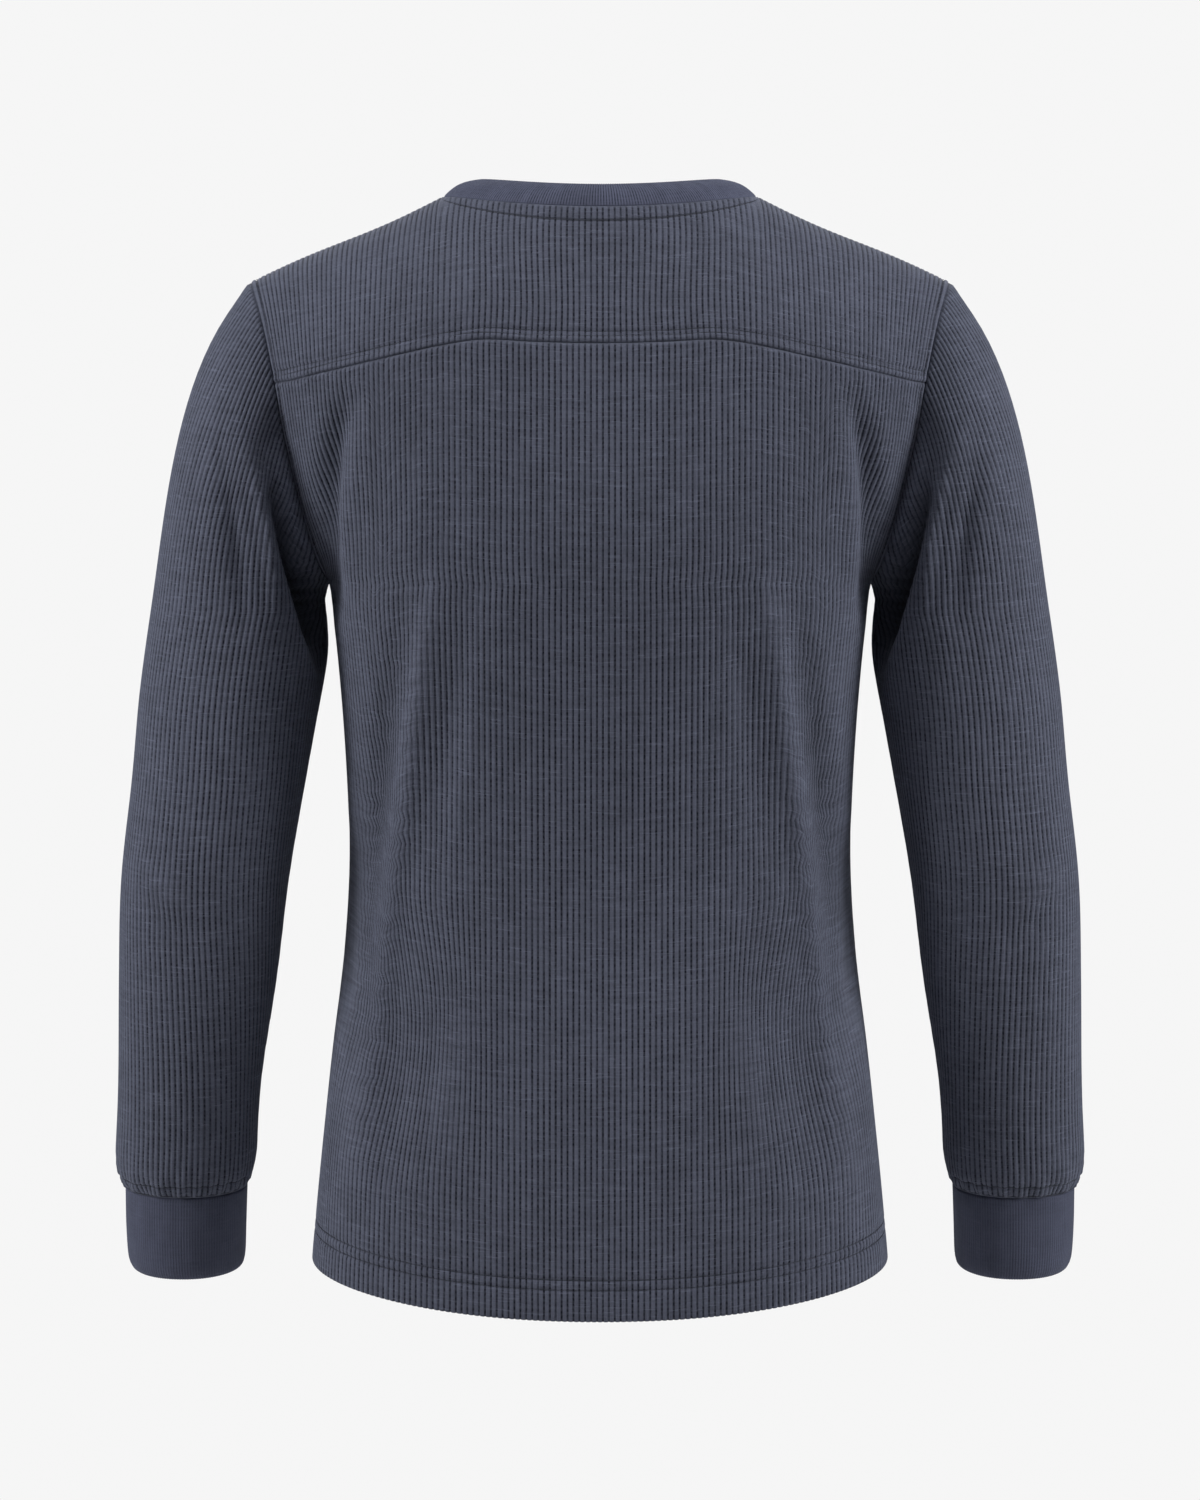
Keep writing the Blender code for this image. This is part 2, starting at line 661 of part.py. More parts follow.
def part_the_seams(back, yoke, front, sleeve, band, cuff):
    """Open the gap on both sides of every seam."""
    open_seam(back, -1, ALL)
    open_seam(yoke, 0, ALL)
    neck_start = HALF_COLUMNS - NECK_COLUMN
    neck_end = HALF_COLUMNS + NECK_COLUMN
    for panel in (yoke, front):
        open_seam(panel, -1, slice(0, neck_start + 1))
        open_seam(panel, -1, slice(neck_start, neck_end + 1))
        open_seam(panel, -1, slice(neck_end, None))
    open_side_seams(back, -1)
    open_side_seams(front, 1)
    above_underarm = slice(len(SECTIONS) - 1, None)
    for panel, rows in ((back, above_underarm), (yoke, ALL), (front, above_underarm)):
        open_seam(panel, rows, 0)
        open_seam(panel, rows, -1)
    open_seam(sleeve, -1, ALL, closed=True)
    open_seam(sleeve, 0, ALL, closed=True)
    open_seam(band, 0, ALL, closed=True)
    open_seam(cuff, -1, ALL, closed=True)


def main():
    """Model the whole top."""
    for old in list(bpy.data.objects):
        bpy.data.objects.remove(old, do_unlink=True)
    ribbed = make_material("ribbed_cotton", RIBBED_COTTON)
    banding = make_material("band_cotton", BAND_COTTON)
    back, yoke, front = body_pieces()
    sleeve = make_piece(sleeve_rows(), True, True, CLOTH_WALL)
    band = make_piece(neckband_grid(), True, False, BAND_WALL)
    around = np.arange(CUFF_COLUMNS) / CUFF_COLUMNS
    cuff_grid = np.array([ring_points(ring, around) for ring in CUFF_RINGS])
    cuff = make_piece(cuff_grid, True, False, BAND_WALL)
    share_seam_normals((back, yoke, front, sleeve, band))
    even_out_neck(band, yoke, front)
    even_out_shoulder(yoke, right_first=False)
    even_out_shoulder(front, right_first=True)
    mirror_normals(back, right_first=False)
    mirror_normals(yoke, right_first=False)
    mirror_normals(front, right_first=True)
    even_out_sleeve_top(sleeve)
    square_to_arm(sleeve, 0, SLEEVE_RINGS[0].lean)
    square_to_arm(cuff, -1, SLEEVE_RINGS[0].lean)
    part_the_seams(back, yoke, front, sleeve, band, cuff)
    add_object("back", back, ribbed)
    add_object("back_yoke", yoke, ribbed)
    add_object("front", front, ribbed)
    add_object("sleeve_right", sleeve, ribbed)
    add_object("sleeve_left", sleeve, ribbed, mirrored=True)
    add_object("collar", band, banding)
    add_object("cuff_right", cuff, banding)
    add_object("cuff_left", cuff, banding, mirrored=True)


main()
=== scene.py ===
"""Finish of a long-sleeved thermal top in ribbed cotton, in the hollow form it has when it is worn.

The frame: +Z is up, the wearer faces +Y and the wearer's right arm is on +X, in metres. Each cut piece
is worked out as a smooth grid from the same sizes as the plain solids, softened and creased, and then
knitted: its columns follow the ribs at their real pitch, and its rows are close together at the seams.
"""

import functools
import math
from collections import namedtuple

import bpy
import numpy as np
from bpy.props import FloatProperty, FloatVectorProperty, PointerProperty
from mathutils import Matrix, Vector


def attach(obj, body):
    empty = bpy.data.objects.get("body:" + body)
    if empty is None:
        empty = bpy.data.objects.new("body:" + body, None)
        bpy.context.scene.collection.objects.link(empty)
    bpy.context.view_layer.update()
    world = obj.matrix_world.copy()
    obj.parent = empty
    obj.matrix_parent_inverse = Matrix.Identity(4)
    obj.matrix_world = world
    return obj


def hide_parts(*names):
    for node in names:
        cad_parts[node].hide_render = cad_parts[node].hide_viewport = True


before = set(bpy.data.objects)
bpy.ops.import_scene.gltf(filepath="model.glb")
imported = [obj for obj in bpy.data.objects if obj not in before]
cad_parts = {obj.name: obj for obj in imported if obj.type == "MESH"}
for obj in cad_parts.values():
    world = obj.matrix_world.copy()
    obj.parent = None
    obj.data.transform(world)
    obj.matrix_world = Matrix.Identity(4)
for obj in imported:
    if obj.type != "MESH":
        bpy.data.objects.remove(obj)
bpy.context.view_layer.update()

bl_info = {
    "name": "Thermal top finish",
    "version": (1, 0, 0),
    "blender": (4, 5, 0),
    "location": "3D View > Sidebar > Thermal Top",
    "description": "Builds the ribbed cloth, bands, stitching and stage of a thermal top",
    "category": "Add Mesh",
}

BODY = "root"
LEFT_AND_RIGHT = (("left", -1), ("right", 1))
MIRRORED = np.array([-1, 1, 1])

# Fine grids: columns over half a panel, over half the neck seam and round a sleeve, the length of a
# step, and the rows of the two bands
HALF_COLUMNS = 176
NECK_COLUMN = 80
NECK_COLUMNS = slice(HALF_COLUMNS - NECK_COLUMN, HALF_COLUMNS + NECK_COLUMN + 1)
SLEEVE_COLUMNS = 320
GRID_STEP = 0.004
NECKBAND_ROWS = 13
CUFF_ROWS = 19

# Samples of a curve between two rows of its table, of a panel's plan, of a ring and of a crease
SPLINE_SAMPLES = 24
PLAN_SAMPLES = 500
RING_SAMPLES = 900
CREASE_SAMPLES = 25

# The least length and area that anything is divided by, and the least step between two rows
LEAST_LENGTH = 1e-12
LEAST_AREA = 1e-18
LEAST_STEP = 1e-9

# Softening: over how many rows and columns, and how far from an edge it works in full
SOFTEN_ROWS = 2.6
SOFTEN_COLUMNS = 6.0
PINNED_BY_EDGE = 0.022

# Walls: how thick the cloth, the turned hem and the doubled bands are
CLOTH_WALL = 0.0015
HEM_WALL = 0.0024
BAND_WALL = 0.0024

# Torso: its sections from the hem up to the underarm, then the back and the front above it
SIDE_Y = 0.005
CHEST_POWER = 2.4
UNDERARM_X = 0.1735
UNDERARM_Z = -0.243
Section = namedtuple("Section", "side_z half_width back_y front_y centre_drop power wall")
SECTIONS = (
    Section(-0.6760, 0.1852, -0.118, 0.118, 0.020, 3.1, HEM_WALL),
    Section(-0.6580, 0.1838, -0.117, 0.117, 0.020, 3.1, HEM_WALL),
    Section(-0.6130, 0.1797, -0.113, 0.116, 0.015, 2.9, CLOTH_WALL),
    Section(-0.5480, 0.1730, -0.106, 0.113, 0.008, 2.6, CLOTH_WALL),
    Section(-0.4820, 0.1652, -0.098, 0.111, 0.003, 2.5, CLOTH_WALL),
    Section(-0.4170, 0.1614, -0.096, 0.114, 0.000, 2.4, CLOTH_WALL),
    Section(-0.3520, 0.1634, -0.101, 0.121, 0.000, 2.4, CLOTH_WALL),
    Section(-0.2880, 0.1682, -0.109, 0.127, 0.000, 2.4, CLOTH_WALL),
    Section(UNDERARM_Z, UNDERARM_X, -0.114, 0.129, 0.000, CHEST_POWER, CLOTH_WALL),
)
Profile = namedtuple("Profile", "z y")
BACK_PROFILE = (
    Profile(UNDERARM_Z, -0.114),
    Profile(-0.200, -0.116),
    Profile(-0.150, -0.113),
    Profile(-0.0934, -0.105),
)
FRONT_PROFILE = (
    Profile(UNDERARM_Z, 0.129),
    Profile(-0.200, 0.124),
    Profile(-0.160, 0.113),
    Profile(-0.135, 0.104),
)
YOKE_CENTRE_Z = -0.0934
CHEST_CENTRE_Z = -0.135
SeamFall = namedtuple("SeamFall", "across fall")
YOKE_SEAM = (
    SeamFall(0.00, 0.000),
    SeamFall(0.20, -0.035),
    SeamFall(0.31, -0.090),
    SeamFall(0.37, -0.085),
    SeamFall(0.45, 0.035),
    SeamFall(0.60, 0.300),
    SeamFall(1.00, 1.000),
)
CHEST_LINE = (
    SeamFall(0.00, 0.000),
    SeamFall(0.50, 0.250),
    SeamFall(1.00, 1.000),
)

# Levels: one for each torso section, then those up the armhole to the yoke seam and over the shoulder
UNDERARM_LEVEL = len(SECTIONS) - 1
LEVELS_TO_YOKE = 6
LEVELS_IN_YOKE = 4
YOKE_LEVEL = UNDERARM_LEVEL + LEVELS_TO_YOKE
TOP_LEVEL = YOKE_LEVEL + LEVELS_IN_YOKE
ARMHOLE_LEVELS = LEVELS_TO_YOKE + LEVELS_IN_YOKE

# Neck and shoulder seams
NECK_HALF_WIDTH = 0.0996
SHOULDER_SEAM_Y = 0.008
NECK_CENTRE = {"back": Profile(-0.0105, -0.080), "front": Profile(-0.095, 0.084)}
NECK_DIP = {"back": 2.0, "front": 1.3}
SHOULDER_POINT = (0.2225, SHOULDER_SEAM_Y, -0.0536)
SHOULDER_SAG = 0.0007
SHOULDER_WAVE = 0.0011
ARRIVAL_AT_SHOULDER = math.radians(-3)
ARRIVAL_AT_NECK = {"back": math.radians(66), "front": math.radians(56)}
YOKE_FULLNESS = 0.92
HELD_AT_ARMHOLE_POWER = 5
EASED_TO_ARMHOLE_POWER = 3.0
NECK_FAN = {"back": 0.0035, "front": 0.0}
NECK_FAN_WIDTH = 0.055

# Armhole seam on the +X side, from the underarm up to the shoulder point
ArmholePoint = namedtuple("ArmholePoint", "x y z")
ARMHOLE = {
    "back": (
        ArmholePoint(UNDERARM_X, SIDE_Y, UNDERARM_Z),
        ArmholePoint(0.1795, -0.020, -0.229),
        ArmholePoint(0.1888, -0.035, -0.191),
        ArmholePoint(0.1984, -0.045, -0.147),
        ArmholePoint(0.2027, -0.050, -0.1194),
        ArmholePoint(0.2110, -0.040, -0.082),
        ArmholePoint(0.2188, -0.018, -0.0595),
        ArmholePoint(*SHOULDER_POINT),
    ),
    "front": (
        ArmholePoint(UNDERARM_X, SIDE_Y, UNDERARM_Z),
        ArmholePoint(0.1765, 0.031, -0.231),
        ArmholePoint(0.1820, 0.050, -0.192),
        ArmholePoint(0.1880, 0.056, -0.150),
        ArmholePoint(0.1965, 0.053, -0.110),
        ArmholePoint(0.2090, 0.040, -0.077),
        ArmholePoint(0.2185, 0.024, -0.058),
        ArmholePoint(*SHOULDER_POINT),
    ),
}

# Sleeve rings on the +X side, from the cuff seam up; lean is the rise of a ring towards the front
SLEEVE_POWER = 2.15
Ring = namedtuple("Ring", "z outer_x inner_x centre_y half_depth lean")
SLEEVE_RINGS = (
    Ring(-0.6390, 0.3102, 0.2312, 0.024, 0.0375, 0.06),
    Ring(-0.6320, 0.3128, 0.2286, 0.023, 0.0398, 0.09),
    Ring(-0.6235, 0.3166, 0.2250, 0.022, 0.0428, 0.13),
    Ring(-0.6080, 0.3152, 0.2246, 0.020, 0.0425, 0.12),
    Ring(-0.5640, 0.3122, 0.2205, 0.012, 0.0445, 0.10),
    Ring(-0.5000, 0.3100, 0.2095, 0.003, 0.0485, 0.06),
    Ring(-0.4340, 0.3072, 0.2008, -0.002, 0.0535, 0.02),
    Ring(-0.3700, 0.2996, 0.1895, -0.001, 0.0570, 0.00),
    Ring(-0.3210, 0.2952, 0.1804, 0.001, 0.0590, 0.00),
    Ring(-0.2880, 0.2910, 0.1745, 0.003, 0.0590, 0.00),
    Ring(-0.2580, 0.2864, 0.1766, 0.004, 0.0580, 0.00),
)
Leaving = namedtuple("Leaving", "share out away down")
SLEEVE_LEAVING = (
    Leaving(0.00, 0.70, 0.00, 0.71),
    Leaving(0.30, 0.72, 0.30, 0.62),
    Leaving(0.55, 0.60, 0.50, 0.62),
    Leaving(0.80, 0.35, 0.45, 0.82),
    Leaving(1.00, 0.10, 0.00, 1.00),
)
CAP_FULLNESS = 0.94
GATHERED_RING = 3

# Cuff rings and neckband
CUFF_RINGS = (
    Ring(-0.6915, 0.3074, 0.2346, 0.031, 0.0350, 0.13),
    Ring(-0.6850, 0.3096, 0.2334, 0.030, 0.0368, 0.13),
    Ring(-0.6640, 0.3104, 0.2324, 0.027, 0.0375, 0.13),
    Ring(-0.6390, 0.3102, 0.2312, 0.024, 0.0375, 0.06),
)
BAND_TOP_HALF_WIDTH = 0.0775
BAND_TOP_SIDE_Z = 0.0102
BAND_TOP = {"back": Profile(0.0035, -0.0685), "front": Profile(-0.0760, 0.0700)}
BAND_CROWN = 0.0026
# Painted light: the whole neckband is drawn lighter, as if more light fell on its upturned face
NECKBAND_PAINTED_LIGHT = 0.24
CUFF_FLAT = 0.5

# Ribs: the places of a rib's columns, in ribs from its crest, and their heights
RibColumn = namedtuple("RibColumn", "place height")
RIB = (
    RibColumn(0.00, 1.00),
    RibColumn(0.31, 0.84),
    RibColumn(0.50, 0.00),
    RibColumn(0.69, 0.84),
)

# Seams: how a piece rolls under at a seam and puffs up beside it, how much of that each seam has, and
# how painted shade darkens the groove and wear on the puff lightens it
SEAM_ROLL = 0.0011
SEAM_ROLL_WIDTH = 0.0008
SEAM_FLAT = 0.0018
SEAM_PUFF = 0.0005
SEAM_PUFF_AT = 0.0026
SEAM_PUFF_WIDTH = 0.0014
SEAM_PUCKER = 0.25
ARMHOLE_ROLLED = 0.26
YOKE_ROLLED = 0.45
NECK_ROLLED = 0.12
CUFF_ROLLED = 0.08
PAINTED_SEAM_SHADE = 0.55
PUFF_WEAR = 0.04

# The layers between a seam and its last row of stitches: flatter ribs, a soft rise, and where they end
LAYERED_FLAT = 0.30
LAYERED_PUFF = 0.5
LAYERED_END = 0.0012

# Rows of stitches: how far from its seam or edge each one lies, and over what length it starts
NECK_STITCH = 0.0094
NECK_STITCHES_END = 0.006
ARMHOLE_STITCH = 0.0048
ARMHOLE_STITCHES_END = 0.006
YOKE_STITCHES = (0.0044, 0.0072)
CUFF_STITCHES = (0.0012, 0.0090)
HEM_STITCHES = (0.0180, 0.0245)

# What a row of stitches does to the cloth: its dent, the dark line of painted shade along the dent, and
# how wide the line is drawn
STITCH_DENT = 0.0006
STITCH_DENT_WIDTH = 0.0010
STITCH_PUCKER = 0.20
STITCH_FLAT = 0.7
STITCH_LINE = 0.00075
STITCH_SHADE = 0.62
NO_STITCHES = 0.02
NECK_LINE_WIDTH = 1.7
FAINT_LINE_WIDTH = 0.75

# Waves along a seam: their turn in radians a metre, and how far and how fast they drift; then how high
# the sleeves' gathers are, how far up they reach, and how they slant
Waves = namedtuple("Waves", "turn drift drift_turn")
PUCKER = Waves(520, 2.0, 95)
GATHERS = Waves(480, 3.0, 70)
GATHER = 0.0012
GATHER_START = 0.003
GATHER_REACH = 0.014
GATHER_LEAN = 160

# Rows of a knitted piece: how far apart they are, plainly and in the parts beside seams, and how wide
# those parts are
ROW_STEP = 0.0075
SEAM_ROW_STEP = 0.0011
BESIDE_SEAM = 0.0115
BESIDE_NECK = 0.0265
BESIDE_HEM_STITCHES = 0.004
YOKE_ROW_STEP = 0.0040
SLEEVE_ROW_STEP = 0.0060
BAND_ROW_STEP = 0.0030

# Walls of a knitted piece: how deep the turned hem is, the least width of a face at a panel's edge, and
# the rows round a folded edge
HEM_DEPTH = 0.0200
SLIVER = 0.0002
ROUND_ROWS = 3

# Stitches: sides and rings of one stitch, and how far its middle stands over the cloth
STITCH_SEGMENTS = 6
STITCH_RINGS = 4
STITCH_LIFT = 0.0001

# Creases: from, by way of and to (x, z) on one side, how wide, how high or deep, how far they stretch
# the ribs flat, and how much painted shade darkens them or, below zero, painted highlight makes them
# paler
Crease = namedtuple("Crease", "side from_x from_z by_x by_z to_x to_z half_width height flat dark")
BODY_CREASES = (
    Crease("back", 0.100, -0.225, 0.121, -0.370, 0.152, -0.620, 0.0060, 0.0062, 0.70, -0.06),
    Crease("back", 0.106, -0.238, 0.1245, -0.345, 0.147, -0.500, 0.0024, 0.0012, 0.95, -0.16),
    Crease("back", 0.118, -0.235, 0.144, -0.370, 0.160, -0.560, 0.0084, -0.0062, 0.0, 0.24),
    Crease("back", 0.150, -0.118, 0.184, -0.190, 0.163, -0.268, 0.0076, -0.0115, 0.0, 0.12),
    Crease("back", 0.138, -0.140, 0.168, -0.192, 0.152, -0.276, 0.0062, 0.0018, 0.15, 0.0),
    Crease("back", 0.156, -0.390, 0.164, -0.455, 0.163, -0.530, 0.0055, -0.0040, 0.0, 0.15),
    Crease("back", 0.080, -0.235, 0.094, -0.330, 0.108, -0.440, 0.0110, -0.0034, 0.0, 0.0),
    Crease("back", 0.094, -0.615, 0.098, -0.545, 0.080, -0.490, 0.0100, 0.0026, 0.35, 0.0),
    Crease("back", 0.062, -0.620, 0.074, -0.570, 0.066, -0.500, 0.0120, -0.0022, 0.0, 0.0),
    Crease("back", 0.124, -0.500, 0.128, -0.560, 0.132, -0.640, 0.0120, -0.0026, 0.0, 0.0),
    Crease("back", 0.148, -0.500, 0.153, -0.570, 0.160, -0.650, 0.0080, 0.0024, 0.40, 0.0),
    Crease("front", 0.118, -0.250, 0.134, -0.350, 0.150, -0.460, 0.0090, 0.0052, 0.80, 0.0),
    Crease("front", 0.142, -0.262, 0.150, -0.330, 0.158, -0.410, 0.0100, -0.0042, 0.0, 0.0),
    Crease("front", 0.146, -0.112, 0.170, -0.170, 0.160, -0.240, 0.0070, -0.0080, 0.0, 0.0),
    Crease("front", 0.084, -0.300, 0.096, -0.390, 0.110, -0.470, 0.0120, -0.0028, 0.0, 0.0),
    Crease("front", 0.080, -0.570, 0.096, -0.520, 0.112, -0.470, 0.0120, 0.0024, 0.35, 0.0),
    Crease("front", 0.132, -0.510, 0.140, -0.570, 0.146, -0.640, 0.0110, -0.0022, 0.0, 0.0),
)
SLEEVE_CREASES = (
    Crease("back", 0.231, -0.140, 0.203, -0.188, 0.204, -0.276, 0.0050, 0.0062, 0.35, 0.0),
    Crease("back", 0.2090, -0.178, 0.186, -0.238, 0.160, -0.345, 0.0064, -0.0170, 0.90, 0.98),
    Crease("back", 0.2050, -0.150, 0.194, -0.208, 0.179, -0.250, 0.0056, 0.0034, 0.15, -0.55),
    Crease("back", 0.242, -0.146, 0.226, -0.200, 0.222, -0.280, 0.0064, -0.0040, 0.0, 0.0),
    Crease("front", 0.230, -0.130, 0.218, -0.185, 0.204, -0.260, 0.0070, 0.0050, 0.35, 0.0),
    Crease("front", 0.218, -0.120, 0.200, -0.185, 0.184, -0.270, 0.0088, -0.0090, 0.0, 0.0),
    Crease("back", 0.290, -0.410, 0.276, -0.438, 0.258, -0.452, 0.0100, 0.0022, 0.20, 0.0),
    Crease("back", 0.288, -0.440, 0.274, -0.462, 0.250, -0.470, 0.0090, -0.0018, 0.0, 0.0),
    Crease("front", 0.292, -0.400, 0.270, -0.425, 0.240, -0.440, 0.0090, -0.0036, 0.0, 0.0),
    Crease("front", 0.296, -0.430, 0.272, -0.455, 0.236, -0.470, 0.0090, 0.0032, 0.20, 0.0),
    Crease("front", 0.294, -0.466, 0.270, -0.485, 0.234, -0.492, 0.0080, -0.0028, 0.0, 0.0),
)
FACING_FROM = -0.1
FACING_TO = 0.3
HELD_BY_SEAM = 0.0045

# Ribs pulled flat: beside the side seams, and where they spread to more than their pitch
FLAT_BY_SIDE = 0.050
SIDE_FLAT = 0.95
SPREAD_FROM = 1.2
SPREAD_TO = 1.9
SPREAD_FLAT = 0.9

# Ribs drawn aside: beside the waist they run in towards the drape fold, over the hips they flare out
# again, and up the back of a sleeve's head they stay steeper than the cloth
Drawn = namedtuple("Drawn", "from_z full_z leave_z until_z inner outer aside")
BODY_DRAWN = (
    Drawn(-0.235, -0.425, -0.470, -0.610, 0.118, 0.165, 0.018),
    Drawn(-0.430, -0.515, -0.515, -0.625, 0.066, 0.130, 0.014),
)
CAP_DRAWN = 0.015
CAP_DRAWN_REACH = 0.065
CAP_CROWN = 0.20

# Finishes of the cloth, the bands and the thread
Finish = namedtuple("Finish", "roughness sheen")
RIB_FINISH = Finish(0.92, 0.12)
BAND_FINISH = Finish(0.92, 0.10)
THREAD_ROUGHNESS = 0.7
SHEEN_ROUGHNESS = 0.6
SHEEN_TINT = (0.62, 0.68, 0.85)
SPECULAR = 0.25

# Knits: where a groove's painted shade begins and ends in parts of a rib from its middle, the length of
# the ticks in it and of a course, how strong slubs, streaks and heather are, and how deep the fine
# surface is
Knitting = namedtuple("Knitting", "groove_from groove_to tick course slub streak heather bump")
RIB_KNITTING = Knitting(0.11, 0.24, 0.0034, 0.00052, 0.34, 0.66, 0.38, 0.00030)
BAND_KNITTING = Knitting(0.12, 0.30, 0.0030, 0.00045, 0.04, 0.16, 0.26, 0.00012)

# Grains of the yarn's patterns: their size across and along the ribs, and which part of the noise
Grain = namedtuple("Grain", "across along offset detail roughness")
TURN_GRAIN = Grain(0.0036, 0.0160, 2.3, 2.0, 0.5)
UNEVEN_GRAIN = Grain(0.0040, 0.0060, 1.7, 2.0, 0.6)
GROOVE_DEPTH_GRAIN = Grain(0.0042, 0.0450, 4.9, 2.0, 0.5)
SLUB_GRAIN = Grain(0.0120, 0.0011, 7.7, 2.0, 0.5)
STREAK_GRAIN = Grain(0.0340, 0.0030, 3.1, 3.0, 0.6)
SPECKLE_GRAIN = Grain(0.0011, 0.0009, 5.3, 2.0, 0.7)
BLOTCH_GRAIN = Grain(0.0100, 0.0150, 6.1, 2.0, 0.6)
RIB_GRAIN = Grain(0.0060, 0.0600, 9.1, 2.0, 0.5)
CLOUD_SCALE = (14, 14, 9)
CLOUD_DETAIL = 3.0

# Ramps that turn a grain into how dark a groove's painted shade is, where a slub lies and how dark the
# painted shade of a stitch's line is, and how strongly each pattern works
Ramp = namedtuple("Ramp", "low high to_low to_high")
UNEVEN_GROOVES = Ramp(0.34, 0.58, 0.66, 1.0)
GROOVE_DEPTH_SHADE = Ramp(0.30, 0.52, 0.62, 1.0)
SLUB_LINES = Ramp(0.56, 0.76, 0.0, 1.0)
UNEVEN_STITCHES = Ramp(0.30, 0.55, 0.70, 1.0)
TICK_SHADE = 0.16
TICK_TURNS = 12.0
FLATTENED_GROOVE = 0.92
SLUB_OVER_GROOVE = 0.50
FADED_STREAKS = 1.6
RIB_SHADE = 0.30
BLOTCH_SHADE = 0.34
CLOUD_SHADE = 0.30
LOOPS_IN_RIB = 4
LOOP_RELIEF = 0.35
SLUB_RELIEF = 0.6

# Plain finishes: size and strength of their slight unevenness
PLAIN_SCALE = (900, 900, 900)
PLAIN_UNEVEN = 0.15

# How far along the patterns each piece's weave starts
FRONT_SHIFT = 0.0
BACK_SHIFT = 0.9
YOKE_SHIFT = 1.7
RIGHT_SLEEVE_SHIFT = 2.3
LEFT_SLEEVE_SHIFT = 3.1
NECKBAND_SHIFT = 0.0
RIGHT_CUFF_SHIFT = 0.4
LEFT_CUFF_SHIFT = 0.7

# Stage: the soft lights, named for their settings, then the floor, the camera and a light's most power
Lamp = namedtuple("Lamp", "setting x y z size")
PAIRED_LAMPS = (
    Lamp("side_light", 2.3, -0.7, 0.2, 0.8),
    Lamp("near_light", 1.5, -0.7, 0.8, 0.8),
    Lamp("far_light", 0.5, 2.5, 0.9, 1.2),
)
TOP_LAMP = Lamp("top_light", 0.0, -0.9, 2.2, 0.8)
LIT_POINT = (0, 0, -0.3)
FLOOR_COLOUR = (0.82, 0.82, 0.82)
FLOOR_ROUGHNESS = 0.8
FLOOR_RADIUS = 1.8
FLOOR_SIDES = 128
LENS_MM = 90
SENSOR_MM = 36
CAMERA_PLACE = (0, -2.4, -0.15)
CAMERA_TILT_DEGREES = 4.812
MOST_WATTS = 1000.0


def metres(name, description, default, least, most):
    """A length that can be set."""
    return FloatProperty(
        name=name, description=description, default=default, min=least, max=most, unit="LENGTH"
    )


def watts(name, description, default):
    """A light's power that can be set."""
    return FloatProperty(
        name=name, description=description, default=default, min=0.0, max=MOST_WATTS, unit="POWER"
    )


def strength(name, description, default, most):
    """A strength or brightness that can be set."""
    return FloatProperty(name=name, description=description, default=default, min=0.0, max=most)


def paint(name, description, default):
    """A colour that can be set."""
    return FloatVectorProperty(
        name=name, description=description, subtype="COLOR", size=3, default=default, min=0.0, max=1.0
    )


class ClothSettings(bpy.types.PropertyGroup):
    """Sizes and colours of the ribbed cloth."""

    rib_pitch: metres("Rib pitch", "From one rib to the next", 0.00365, 0.002, 0.01)
    rib_height: metres(
        "Rib height", "How far a rib stands above the groove beside it", 0.0008, 0.0, 0.002
    )
    rib_colour: paint("Rib colour", "Colour of the ribs", (0.098, 0.107, 0.150))
    # The groove colour is painted shade in the grooves between the ribs
    painted_groove_shade: paint(
        "Groove colour", "Colour of the grooves between the ribs", (0.0095, 0.0105, 0.0200)
    )


class BandSettings(bpy.types.PropertyGroup):
    """Sizes and colours of the neckband and the cuffs."""

    rib_pitch: metres("Rib pitch", "From one fine rib to the next", 0.0018, 0.001, 0.01)
    rib_height: metres(
        "Rib height", "How far a fine rib stands above the groove beside it", 0.0004, 0.0, 0.002
    )
    rib_colour: paint("Rib colour", "Colour of the fine ribs", (0.076, 0.083, 0.127))
    # The groove colour is painted shade between the fine ribs
    painted_groove_shade: paint("Groove colour", "Colour between the fine ribs", (0.022, 0.025, 0.043))


class StitchSettings(bpy.types.PropertyGroup):
    """Sizes and colour of the sewing thread."""

    length: metres("Stitch length", "Length of one stitch", 0.0021, 0.0005, 0.01)
    spacing: metres("Stitch spacing", "From one stitch to the next", 0.0027, 0.0005, 0.01)
    thickness: metres("Thread thickness", "Thickness of the thread", 0.0005, 0.0001, 0.002)
    colour: paint("Thread colour", "Colour of the thread", (0.034, 0.038, 0.058))


class StageSettings(bpy.types.PropertyGroup):
    """Floor, background, lights and camera."""

    background: strength("Background", "Brightness of the background", 0.92, 2.0)
    fill: strength("Fill light", "Strength of the light from all round", 0.02, 5.0)
    side_light: watts("Side lights", "Power of the soft light on each side", 30.0)
    far_light: watts("Far lights", "Power of each of the two soft lights beyond the top", 26.0)
    near_light: watts("Near lights", "Power of the soft light close to the top on each side", 13.0)
    top_light: watts("Top light", "Power of the soft light from above", 18.0)
    floor_drop: metres("Floor drop", "Height of the shoulders above the floor", 1.45, 0.8, 2.5)


# ---------------------------------------------------------------- curves and surfaces


def unit(vectors):
    """Vectors of length one."""
    lengths = np.linalg.norm(vectors, axis=-1, keepdims=True)
    return vectors / np.maximum(lengths, LEAST_LENGTH)


def smooth_step(share):
    """A soft ramp from 0 to 1."""
    share = np.clip(share, 0, 1)
    return share * share * (3 - 2 * share)


